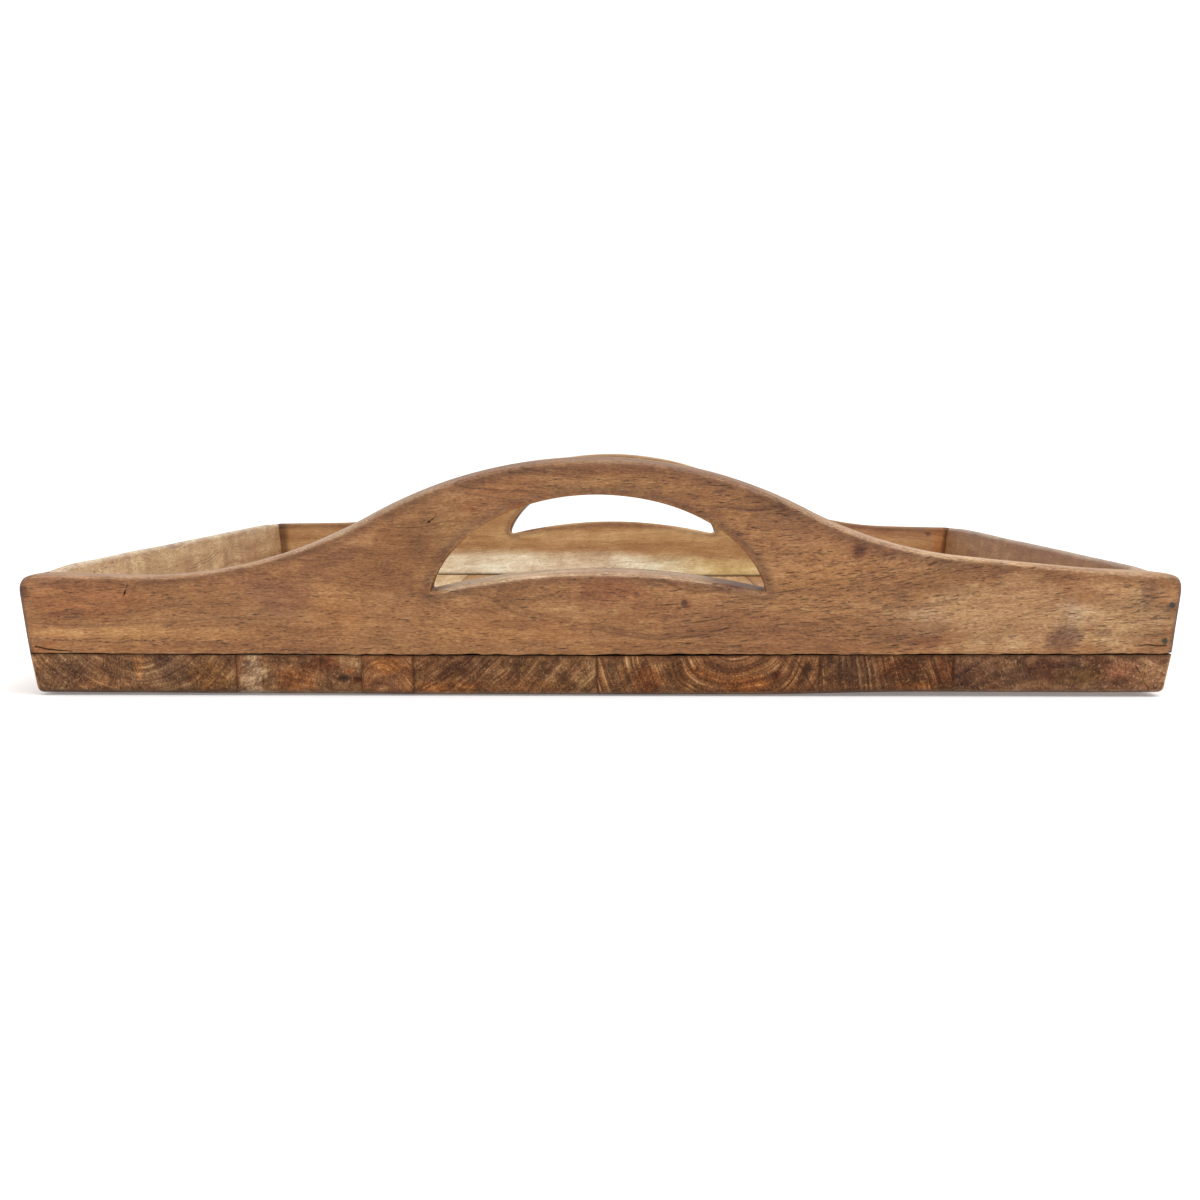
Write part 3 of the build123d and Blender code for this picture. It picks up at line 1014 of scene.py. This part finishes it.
# Round hollows with flat floors: centre, radius, depth, darkness
front_pits = [((28.0, 17.5), 1.0, 0.12, 0.7), ((84.8, 33.6), 1.5, 0.1, 0.55)]

# Zones of open vessels: low u, high u, low v, high v, how many, lengths, half widths, lean, seed
front_vessels = [
    ((18, 112, 2, 34), 190, (1.4, 4.6), (0.13, 0.25), 6, 31),
    ((60, 100, 14, 34), 70, (1.4, 4.2), (0.16, 0.28), 5, 32),
    ((-95, 18, 1.5, 24), 110, (0.7, 2.2), (0.12, 0.22), 2, 33),
    ((-50, 62, 49, 62), 60, (0.7, 2.4), (0.12, 0.2), 0, 34),
    ((-186, -95, 1.5, 24), 90, (0.6, 2.2), (0.12, 0.22), 2, 35),
    ((-186, -120, 3.6, 5.2), 46, (0.7, 2.6), (0.16, 0.27), 0, 36),
    ((112, 187, 2, 24), 60, (0.6, 2.2), (0.12, 0.22), 6, 37),
    ((172, 182, 12, 24), 16, (0.9, 2.2), (0.2, 0.34), 14, 38),
    ((42, 72, 30, 56), 50, (0.8, 2.6), (0.13, 0.22), -2, 39),
    ((146, 159, 2.5, 9.5), 26, (0.4, 1.3), (0.14, 0.22), 20, 40),
]

# ---------------------------------------------------------------- what the base's front edge shows

# Stains on the end grain: x, z, half width, half height, tilt, colour
base_stains = [
    (-151.5, 9.0, 1.8, 4.0, 0, (1.75, 1.6, 1.3)),
    (-163, 3.5, 16, 2.5, 0, (1.25, 1.2, 1.15)),
    (-140, 8, 8, 4, -30, (0.80, 0.80, 0.86)),
    (-128, 6, 9, 6, 0, (1.18, 1.08, 0.84)),
    (-170, 9, 8, 4, 40, (0.86, 0.86, 0.92)),
    (-113.9, 6.8, 4.0, 11, 0, (1.6, 2.15, 2.85)),
    (-108.3, 7.0, 2.4, 9, 0, (1.05, 1.12, 1.15)),
    (-99, 5, 7, 5, 0, (1.22, 1.0, 0.80)),
    (-90, 10.5, 5.5, 3.5, 0, (0.78, 0.60, 0.55)),
    (-83.6, 5.6, 2.0, 1.3, 10, (0.35, 0.32, 0.36)),
    (-79.2, 5.3, 1.9, 1.4, 20, (0.45, 0.22, 0.18)),
    (-81.4, 8.2, 1.4, 0.9, 0, (1.5, 1.15, 0.95)),
    (-69, 10.5, 7, 3.0, 0, (1.22, 1.10, 0.86)),
    (-70, 2.5, 6, 4.0, 0, (0.95, 0.98, 1.08)),
    (-45, 9.2, 11, 3.4, 14, (0.62, 0.58, 0.62)),
    (-48, 2.5, 12, 2.6, 0, (1.30, 1.12, 0.90)),
    (-22, 3.0, 12, 3.0, 0, (1.18, 1.15, 1.05)),
    (-24, 10, 8, 3, 0, (0.92, 0.95, 0.90)),
    (-5.0, 3.6, 4.0, 4.4, 35, (1.25, 1.40, 1.45)),
    (-2.4, 9.0, 1.5, 5.0, 0, (1.5, 1.7, 1.75)),
    (4.5, 7, 1.8, 9, 8, (0.80, 0.86, 0.96)),
    (16, 5, 5, 5, 14, (1.06, 0.86, 0.72)),
    (26, 7, 3.5, 6, 16, (0.76, 0.72, 0.64)),
    (42, 11.5, 7, 2.6, 0, (0.92, 0.96, 1.08)),
    (36, 6.5, 8, 2.2, -20, (1.16, 0.98, 0.80)),
    (48, 3.5, 9, 3.2, 8, (1.30, 1.12, 0.86)),
    (58.5, 7.0, 1.8, 1.6, 0, (0.55, 0.36, 0.32)),
    (67.5, 7.0, 1.6, 5.0, -22, (0.34, 0.32, 0.34)),
    (84, 8, 9, 6, 0, (0.80, 0.82, 0.90)),
    (98, 9, 8, 4, 0, (0.92, 0.78, 0.74)),
    (104, 2.4, 8, 2.0, 0, (1.30, 1.12, 0.86)),
    (113, 8, 4, 6, 0, (0.80, 0.66, 0.62)),
    (119.5, 6.5, 3.4, 4, 0, (0.62, 0.60, 0.66)),
    (136, 10.5, 6, 2.2, 0, (1.35, 1.35, 1.22)),
    (146, 8, 8, 5, 0, (0.66, 0.56, 0.56)),
    (158, 6, 9, 3.4, 6, (0.76, 0.74, 0.58)),
    (164, 11.5, 4.5, 1.6, 0, (0.62, 0.55, 0.52)),
    (170, 7.5, 7, 3.4, 0, (1.40, 1.25, 1.30)),
    (180, 6, 7, 6, 0, (1.65, 1.75, 1.70)),
    (150, 1.6, 40, 1.2, 0, (1.25, 1.25, 1.22)),
]

# Checks in the end grain: run of points, half width, depth, darkness
base_cracks = [
    ([(-181.5, 4.2), (-178, 7.4), (-174.6, 10.4)], 0.2, 0.05, 0.0),
    ([(-80.6, 6.0), (-78.4, 5.2)], 0.35, 0.6, 0.9),
    ([(-85.0, 5.9), (-82.8, 5.4)], 0.35, 0.4, 0.8),
    ([(-75.4, 3.2), (-73.2, 3.9), (-70.8, 4.0), (-68.4, 3.0)], 0.3, 0.1, 0.75),
    ([(-76.9, 13.3), (-77.4, 8.0), (-77.2, 2.0)], 0.16, 0.3, 0.6),
    ([(-17.5, 12.6), (-19.0, 8.0), (-18.2, 5.0), (-20.4, 1.2)], 0.2, 0.2, 0.6),
    ([(-46.5, 12.6), (-49, 9.6), (-52.5, 6.8)], 0.28, 0.1, 0.6),
    ([(10.4, 13.2), (13.6, 7.0), (14.6, 1.0)], 0.18, 0.1, 0.55),
    ([(19.0, 13.0), (23.2, 7.2), (25.6, 3.0)], 0.18, 0.1, 0.5),
    ([(64.4, 12.2), (67.0, 8.6), (69.6, 3.4), (70.8, 1.2)], 0.34, 0.4, 0.95),
    ([(80.6, 13.2), (81.6, 8.0), (82.8, 1.2)], 0.2, 0.25, 0.85),
    ([(86.6, 13.2), (87.4, 8.0), (88.8, 1.2)], 0.16, 0.2, 0.7),
    ([(95.0, 12.8), (97.6, 6.0), (98.4, 1.0)], 0.14, 0.1, 0.5),
    ([(175.4, 9.8), (177.4, 6.6), (179.0, 3.2), (180.6, 0.9)], 0.2, 0.35, 0.8),
    ([(115.9, 13.0), (115.7, 6.0), (116.0, 1.6)], 0.2, 0.4, 0.7),
]

# Each stave's wood: pith across and up, end tone, long tone, ring size, end rays, end rings, tints of
# the end grain and of the long faces
stave_looks = [
    ((-152, 27), 0.39, 0.56, 3.2, 0.6, 0.6, (1.03, 1.15, 1.24), (0.92, 0.98, 1.0)),
    ((-98, -70), 0.41, 0.70, 5.0, 0.6, 0.3, (1.06, 1.12, 1.13), (1.12, 1.34, 1.55)),
    ((-70.4, -1.5), 0.44, 0.52, 2.0, 0.2, 0.9, (1.10, 1.06, 1.00), (1.02, 1.05, 1.0)),
    ((-76, 46), 0.38, 0.68, 3.0, 0.3, 0.8, (0.98, 1.02, 1.00), (1.16, 1.36, 1.55)),
    ((45.6, 21), 0.39, 0.60, 2.4, 0.3, 1.05, (1.08, 1.06, 0.97), (1.10, 1.22, 1.30)),
    ((152, 21), 0.29, 0.50, 2.2, 0.3, 0.95, (0.94, 0.95, 0.91), (0.96, 0.98, 1.0)),
    ((150, -40), 0.33, 0.64, 6.0, 0.4, 0.2, (1.00, 1.10, 1.28), (1.05, 1.15, 1.25)),
]


# ---------------------------------------------------------------- pieces

def end_board(end, facing, material, fineness, cuts, seed):
    """An arched end board; facing is -1 at the front and 1 at the rear."""
    rim = rim_line(facing < 0)
    if facing > 0:
        rim = flipped(rim)
    outline = board_loop(rim, foot_x)
    eased_corner(outline, 2, corner_reach[0], 16)
    eased_corner(outline, 1, corner_reach[1], 16)
    hole = hole_loop(rear_hole_extra if facing > 0 else 0.0)
    for index in (0, 1):
        eased_corner(hole, index, hole_corner_reach[facing], 6)
    board = slab([outline, hole], board_thickness, fineness, 4, cuts=cuts, seed=seed,
                 turns=ring_turns["wide"])
    hole_line = join(hole[0][0], hole[1][0])

    def grain(local, drawn):
        return columns(drawn[:, 0], local[:, 1], local[:, 2])

    def paint(local, drawn):
        edge = np.array(board.edge)
        arris = np.array(board.arris)
        x, up, depth = drawn[:, 0], local[:, 1], local[:, 2]
        broad = smooth_noise(drawn, 6.5, seed + 40)[:, 0]
        fine = smooth_noise(drawn, 2.2, seed + 41)[:, 0]
        waver = 0.75 * broad + 0.5 * fine
        outer = 1 - step_up(depth, 1.5, 4.0)
        colours = np.ones((len(local), 3))
        if facing < 0:
            for spot in front_stains:
                colours = dab(colours, x, up, waver, spot, outer)
        # the faces are painted darker just inside the rim and around the hole
        spots = local[:, :2]
        near = np.minimum(segment_distance(spots, rim), segment_distance(spots, hole_line))
        border_darkening = (1 - step_up(near, 1.7, 4.4 + 1.6 * broad)) * (1 - step_up(edge, 0.2, 0.7))
        border_darkening *= 0.8 + 0.6 * fine
        if facing < 0:
            border_darkening *= 1 - 0.65 * step_up(x, 108, 132) - 0.3 * step_up(-x, 110, 150)
        colours = tinted(colours, np.clip(border_darkening, 0, 1), (0.60, 0.58, 0.64))
        # painted highlight: the rim and the floor of the hole face up to the lamp and are painted in their
        # own tints, mostly paler
        top = step_up(edge, 0.1, 0.7) * (1 - step_up(segment_distance(spots, rim), 1.2, 2.4))
        at, tints = rim_light_tints[facing]
        for channel in range(3):
            tint = np.interp(x, at, [tint[channel] for tint in tints])
            colours[:, channel] *= 1 + top * (0.9 + 0.3 * fine) * (tint - 1)
        # painted highlight on the floor of the hand hole
        ledge = step_up(edge, 0.1, 0.7) * (1 - step_up(segment_distance(spots, hole[1][0]), 0.8, 2.2))
        ledge *= 1 - step_up(np.abs(x), 46, 54)
        colours = tinted(colours, ledge, ledge_light_tints[facing])
        colours = tinted(colours, ledge * step_up(x * -facing + 5 * waver, 28, 46), (0.36, 0.20, 0.14))
        foot = (1 - step_up(up, 0.05, 0.5)) * step_up(edge, 0.1, 0.6)
        colours = tinted(colours, foot, (0.22, 0.20, 0.20))
        ends = arris * step_up(np.abs(x), foot_x - 4, foot_x - 1)
        colours = tinted(colours, ends, (0.62, 0.60, 0.62))
        if facing > 0:
            colours = rear_inner_paint(colours, x, up, depth, waver)
        # vessels are long only in one zone of the outer face
        zone = x + 8 * broad
        long_vessels = 0.1 + 0.9 * step_up(zone, 14, 34) * (1 - 0.75 * step_up(zone, 108, 124))
        return np.concatenate([colours, (long_vessels * outer)[:, None]], axis=1)

    rim_u, rim_v = np.array(sorted(rim)).T
    place = wall_place((0, facing, 0), foot_y)

    def levelled(local):
        """The shoulders' tops were planed nearly level, and sanded to meet the side boards' tops."""
        u, v, d = local.T
        at_top = step_up(v, np.interp(u, rim_u, rim_v) - 7, np.interp(u, rim_u, rim_v))
        to_end = foot_x + v * splay_sine - np.abs(u)
        level = level_share[facing] * step_up(np.abs(u), 70, 120)
        level *= 1 - (1 - corner_level) * (1 - step_up(to_end, 10, 34))
        past_mitre = np.maximum(0, d - np.maximum(0, to_end))
        drop = splay_tangent * (level * d + (1 - level) * past_mitre)
        rise = 0.0
        if facing < 0:
            rise = shoulder_raise[-1] * step_up(-u, 150, 185) + shoulder_raise[1] * step_up(u, 62, 128)
        return place(columns(u, v + at_top * (rise - drop), d))

    finish_piece(f"{end}_board", board, levelled, grain, f"{end}_end_board", material, paint)


def rear_inner_paint(colours, x, up, depth, waver):
    """The sapwood along the foot of the rear board's inner face, old glue in its corners, and painted shade
    with old dirt darkening the corners themselves.
    """
    inner = step_up(depth, board_thickness - 3, board_thickness - 1)
    centre = 1 - step_up(np.abs(x + 6), 60, 96)
    colours = tinted(colours, inner * centre, (1.03, 1.11, 1.17))
    low = 1 - step_up(up + 1.0 * waver + 0.05 * np.maximum(0, x), 6.4, 13.2)
    middle = step_up(x, -175, -120) * (1 - step_up(x, 70, 130))
    golden = step_up(x + 8 * waver, 0, 60)
    colours = tinted(colours, inner * low * middle * (1 - golden), (1.68, 2.55, 4.5))
    colours = tinted(colours, inner * low * middle * golden, (1.55, 2.05, 2.3))
    dusk = np.exp(-((up - 14.5 + waver) / 2.4) ** 2)
    colours = tinted(colours, inner * dusk * middle, (0.90, 0.86, 0.82))
    for spot in rear_stains:
        colours = dab(colours, x, up, waver, spot, inner)
    corner = inner_half_width(up) - np.abs(x)
    wide = np.where(x < 0, 5.5, 2.2) + 1.2 * waver
    near_corner = (1 - step_up(corner, 4.5, 8.5)) * step_up(x, 0, 1)
    colours = tinted(colours, inner * near_corner, (1.05, 0.84, 0.62))
    # painted shade with old dirt: the inner face darkens right into its corners with the side boards
    colours = tinted(colours, inner * (1 - step_up(corner, 0.35 * wide, wide)), (0.40, 0.34, 0.26))
    return tinted(colours, inner * (1 - step_up(up, 0.35, 1.1)), (0.20, 0.16, 0.12))


def inner_half_width(up):
    """Half the width between the side boards' inner faces at a height up the walls."""
    return foot_x - side_run + up * splay_sine


def side_board(side, facing, material, seed, inner_tint, top_highlight_tint):
    """A side board between the end boards; facing is -1 at -X and 1 at +X."""
    inner_reach = foot_y - wall_run
    rim = line((-reach_at_rim, rim_rise), (reach_at_rim, rim_rise))
    edges = board_loop(rim, inner_reach)
    edges[1] = (edges[1][0], sawn_round)
    edges[3] = (edges[3][0], sawn_round)
    zone = (-inner_reach, inner_reach, 2, rim_rise - 3)
    cuts = cut_spots(scattered(zone, 150, (0.8, 3.2), (0.13, 0.24), 2, seed))
    board = slab([edges], side_thickness, ("plain", "plain"), 4, cuts=cuts, seed=seed,
                 turns=ring_turns["wide"])

    def grain(local, drawn):
        return columns(drawn[:, 1], local[:, 1], local[:, 2])

    def paint(local, drawn):
        edge = np.array(board.edge)
        y, up, depth = drawn[:, 1], local[:, 1], local[:, 2]
        broad = smooth_noise(drawn, 9.0, seed + 40)[:, 0]
        fine = smooth_noise(drawn, 2.2, seed + 41)[:, 0]
        colours = np.ones((len(local), 3))
        near = segment_distance(local[:, :2], rim)
        border_darkening = (1 - step_up(near, 0.8, 3.2 + broad)) * (1 - edge) * (0.7 + 0.5 * fine)
        colours = tinted(colours, np.clip(border_darkening, 0, 1), (0.80, 0.78, 0.78))
        # painted highlight: the top of the board faces up to the lamp and is painted paler
        top = step_up(edge, 0.1, 0.7) * step_up(up, 3, 8)
        colours = tinted(colours, top * (0.85 + 0.3 * fine), top_highlight_tint)
        # the inner face has dried in soft cross bands
        inner = step_up(depth, side_thickness - 3, side_thickness - 1)
        bands = np.array([noise.noise(Vector((value / 13, seed, 0.3))) for value in y])
        colours = tinted(colours, inner * np.clip(0.5 + bands, 0, 1), (0.84, 0.80, 0.80))
        colours = tinted(colours, inner, inner_tint)
        if facing < 0:
            colours = tinted(colours, inner * (1 - step_up(y, 60, 190)), (1.12, 1.18, 1.22))
        return colours

    place = wall_place((facing, 0, 0), foot_x)

    def eased(local):
        """The top slants outwards and is sanded lower still towards the corners of the tray."""
        u, v, d = local.T
        near_end = step_up(np.abs(u), reach_at_rim - 40, reach_at_rim - 2)
        slant = side_top_slant + (side_end_ease - side_top_slant) * near_end
        rise = side_top_lift * (1 - near_end) - slant * (1 - step_up(d, 0, 7))
        return place(columns(u, v + rise * step_up(v, rim_rise - 5, rim_rise), d))

    finish_piece(f"{side}_board", board, eased, grain, f"{side}_side_board", material, paint)


def base_end_inset(u, v):
    """How far the base's end face is set in from its top arris, with its rounded arrises."""
    def rounded_off(radius, reach):
        return radius - math.sqrt(max(0, radius ** 2 - (radius - reach) ** 2)) if reach < radius else 0.0

    step_in = (base_thickness - v) * math.tan(base_edge_slope)
    from_side = max(0, foot_x - step_in - abs(u))
    return step_in + rounded_off(base_round, v) + rounded_off(end_round, from_side)


def stave(number, low, high, material):
    """One stave of the base, drawn as its section and run from the front end to the rear end."""
    loop = stave_loop(low, high)
    rows = [(u, base_round * (1 - math.sin(turn)), 0.0, 0.0)
            for turn in np.radians([10, 25, 40, 55, 70]) for u in np.arange(low + 0.8, high - 0.5, 1.2)]
    checks = [cut for cut in base_cracks if low < cut[0][0][0] < high and cut[3] > 0]
    dots = scattered((low + 1, high - 1, 1.5, base_thickness - 1), round((high - low) * 1.2), (0.3, 0.7),
                     (0.12, 0.2), 90, 50 + number)
    board = slab([loop], 2 * foot_y, ("end", "end"), 84, base_end_inset,
                 cuts=rows + cut_spots(checks + dots), back_cuts=rows + cut_spots(dots), seed=10 + number,
                 turns=ring_turns["narrow"], guard=0.12)

    def grain(local, drawn):
        return columns(drawn[:, 1], drawn[:, 0], drawn[:, 2])

    def paint(local, drawn):
        x, up, depth = drawn[:, 0], drawn[:, 2], local[:, 2]
        broad = smooth_noise(drawn, 4.0, number + 60)[:, 0]
        fine = smooth_noise(drawn, 1.3, number + 61)[:, 0]
        waver = 0.7 * broad + 0.6 * fine
        at_front = 1 - step_up(depth, 6, 9)
        colours = np.ones((len(local), 3))
        for spot in base_stains:
            if low - 4 < spot[0] < high + 4:
                colours = dab(colours, x, up, waver, spot, at_front)
        # painted shade: the lower arris is painted dark grey against the bounce light from the pale floor;
        # the seam is dark with old dirt
        at_ends = 1 - step_up(np.minimum(depth, 2 * foot_y - depth), 6, 9)
        colours = tinted(colours, at_ends * (1 - step_up(up, 0.5, 1.7 + 0.6 * fine)), (0.30, 0.31, 0.36))
        seam = step_up(up, base_thickness - 0.5, base_thickness - 0.1) * at_ends
        colours = tinted(colours, seam, (0.42, 0.40, 0.40))
        # painted light: the tray's floor is painted paler, standing in for the strong light that falls into
        # the tray
        sanded = step_up(up, base_thickness - 0.8, base_thickness - 0.2) * (1 - at_ends)
        colours = tinted(colours, sanded, (1.26, 1.46, 1.62))
        to_joint = np.minimum(x - low, high - x)
        return tinted(colours, 1 - step_up(to_joint, 0.05, 0.45), (0.45, 0.40, 0.38))

    node = f"base_stave_{number}"
    finish_piece(f"stave_{number}", board, stave_place, grain, node, material, paint)


def plugs(name, node, spots, place, material):
    """Putty over the heads of driven nails: small domed patches with ragged outlines, one at each spot."""
    board = Board()
    shades = []
    rings = [(0.0, -0.03), (0.45, -0.03), (0.8, -0.02), (1.0, 0.0), (1.12, 0.12), (1.0, 0.9)]
    around = 20
    for u, v, shade in spots:
        loops = []
        for reach, depth in rings:
            loop = []
            for index in range(around if reach else 1):
                turn = 2 * math.pi * index / around
                ragged = 1 + 0.22 * noise.noise(Vector((math.cos(turn) * 1.4, math.sin(turn) * 1.4, u + v)))
                far = putty_radius * reach * ragged
                loop.append(board.add(u + far * math.cos(turn), v + far * math.sin(turn), depth))
                shades.append(shade)
            loops.append(loop)
        for index in range(around):
            after = (index + 1) % around
            board.faces.append([loops[0][0], loops[1][index], loops[1][after]])
            for one, two in zip(loops[1:], loops[2:]):
                board.faces.append([one[index], two[index], two[after], one[after]])
        board.faces.append(list(reversed(loops[-1])))

    def grain(local, drawn):
        return drawn

    def paint(local, drawn):
        return np.array(shades)

    finish_piece(name, board, place, grain, node, material, paint)


def under_place(local):
    """Places coordinates on the underside of the base: u along x, v against y, d up into the wood."""
    return columns(local[:, 0], -local[:, 1], local[:, 2])


def putty():
    """Grey-green filler, dull and slightly grainy."""
    g = Graph("putty")
    place = g.attribute("grain", "Vector")
    grit = g.noise(g.stretch(place, (0.5, 0.5, 0.5), 1.0), 3.0)
    colour = g.ramp(grit, [(0.2, (0.045, 0.042, 0.034)), (0.8, (0.115, 0.105, 0.082))])
    colour = g.mix(1.0, colour, g.attribute("paint", "Color"), "MULTIPLY")
    return g.shade(colour, g.total(0.7, (0.2, grit)), grit, 0.0001)


def steel():
    """Bright drawn wire, a little dull."""
    g = Graph("nail_steel")
    place = g.node("ShaderNodeTexCoord", {}, "Object")
    scale = (2500.0, 2500.0, 120.0)
    drawn = g.noise(g.node("ShaderNodeVectorMath", {0: place, 1: scale}, operation="MULTIPLY"))
    colour = g.ramp(drawn, [(0.2, (0.30, 0.29, 0.28)), (0.8, (0.50, 0.49, 0.48))])
    g.shader.inputs["Metallic"].default_value = 1.0
    return g.shade(colour, g.total(0.35, (0.2, drawn)), drawn, 0.00003)


def nailing():
    """The putty over every nail, and the nails' own finish."""
    filler = putty()
    fresh, faded = (0.52, 0.46, 0.38), (2.6, 1.4, 0.75)
    for end, facing in (("front", -1), ("rear", 1)):
        spots = []
        for side in (-1, 1):
            for across, up in corner_nails:
                spots.append((side * across, up, fresh if side * facing < 0 else faded))
        place = wall_place((0, facing, 0), foot_y)
        plugs(f"{end}_putty", f"{end}_corner_putty", spots, place, filler)
    end_y = foot_y - wall_run / 2
    side_x = foot_x - side_nail_inset
    under = [(x, side * end_y, faded) for x in base_nails_under_ends for side in (-1, 1)]
    under += [(side * side_x, y, faded) for y in base_nails_under_sides for side in (-1, 1)]
    plugs("base_putty", "base_nail_putty", under, under_place, filler)
    bright = steel()
    for node in ("front_corner_nails", "rear_corner_nails", "base_nails"):
        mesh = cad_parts[node].data
        mesh.materials.clear()
        mesh.materials.append(bright)


def build():
    """The boards and staves, each in its own wood."""
    front = wood("front_wood", 3.0, (12.0, 95.0), tone=0.46, tint=(0.90, 0.94, 0.91))
    rear = wood("rear_wood", 8.0, (-30.0, -60.0), tone=0.62, rings=0.25, grits=0.35, fibres=0.45,
                blotches=0.25, pore_share=0.15, tint=(1.10, 1.22, 1.2), lines=0.15)
    right = wood("right_wood", 12.0, (60.0, -30.0), tone=0.60, blotches=0.4, grain_axis=(0, 1, 0),
                 tint=(0.95, 1.0, 1.05))
    left = wood("left_wood", 17.0, (-50.0, -45.0), tone=0.68, grain_axis=(0, 1, 0), tint=(1.02, 1.12, 1.14))
    vessels = [cut for zone in front_vessels for cut in scattered(*zone)]
    front_cuts = cut_spots(front_cracks + vessels)
    for pit in front_pits:
        front_cuts += pit_points(*pit)
    end_board("front", -1, front, ("fine", "plain"), front_cuts, 3)
    rear_cuts = cut_spots(scattered((-180, 180, 2, 60), 300, (0.8, 3.0), (0.13, 0.24), 3, 44))
    end_board("rear", 1, rear, ("plain", "fine"), rear_cuts, 4)
    side_board("right", 1, right, 5, (1.02, 1.08, 1.15), (1.12, 1.42, 2.0))
    side_board("left", -1, left, 6, (1.17, 1.36, 1.56), (1.02, 1.16, 1.42))
    edges = [-foot_x] + stave_joints + [foot_x]
    for number, (low, high, look) in enumerate(zip(edges, edges[1:], stave_looks), start=1):
        pith, end_tone, tone, ring_size, end_rays, end_rings, end_tint, tint = look
        shade = wood(f"stave_wood_{number}", 20.0 + 3 * number, pith, grain_axis=(0, 1, 0), tone=tone,
                     end_tone=end_tone, ring_size=ring_size, end_rays=end_rays, end_rings=end_rings,
                     tint=tint, end_tint=end_tint)
        stave(number, low, high, shade)


# ---------------------------------------------------------------- stage

def placed(name, data):
    """A new object in the scene."""
    made = bpy.data.objects.new(name, data)
    bpy.context.scene.collection.objects.link(made)
    return made


def camera():
    data = bpy.data.cameras.new("camera")
    data.lens = camera_lens
    data.sensor_width = 36
    seat = placed("camera", data)
    seat.location = camera_place
    level = math.cos(camera_pitch)
    ahead = Vector((math.sin(camera_yaw) * level, math.cos(camera_yaw) * level, -math.sin(camera_pitch)))
    seat.rotation_euler = ahead.to_track_quat("-Z", "Y").to_euler()
    bpy.context.scene.camera = seat


def stage():
    """A pale floor that glows a little, a white room and one wide lamp."""
    mesh = bpy.data.meshes.new("floor")
    corners = [(-floor_reach, -floor_reach), (floor_reach, -floor_reach), (floor_reach, floor_reach),
               (-floor_reach, floor_reach)]
    mesh.from_pydata([(x, y, floor_height) for x, y in corners], [], [(0, 1, 2, 3)])
    floor = placed("floor", mesh)
    pale = Graph("pale_floor")
    for key, value in (("Base Color", floor_tone), ("Roughness", 0.9), ("Emission Color", white),
                       ("Emission Strength", floor_glow)):
        pale.shader.inputs[key].default_value = value
    mesh.materials.append(pale.material)
    world = bpy.data.worlds.new("studio")
    world.use_nodes = True
    sky = world.node_tree.nodes["Background"]
    sky.inputs["Color"].default_value = white
    sky.inputs["Strength"].default_value = sky_strength
    bpy.context.scene.world = world
    bpy.context.scene.view_settings.view_transform = "Standard"
    light = bpy.data.lights.new("overhead", "AREA")
    light.shape = "RECTANGLE"
    light.size, light.size_y = lamp_size
    light.energy = lamp_power
    lamp = placed("overhead", light)
    lamp.location = lamp_place
    lamp.rotation_euler = (-lamp.location).to_track_quat("-Z", "Y").to_euler()


camera()
stage()
build()
nailing()
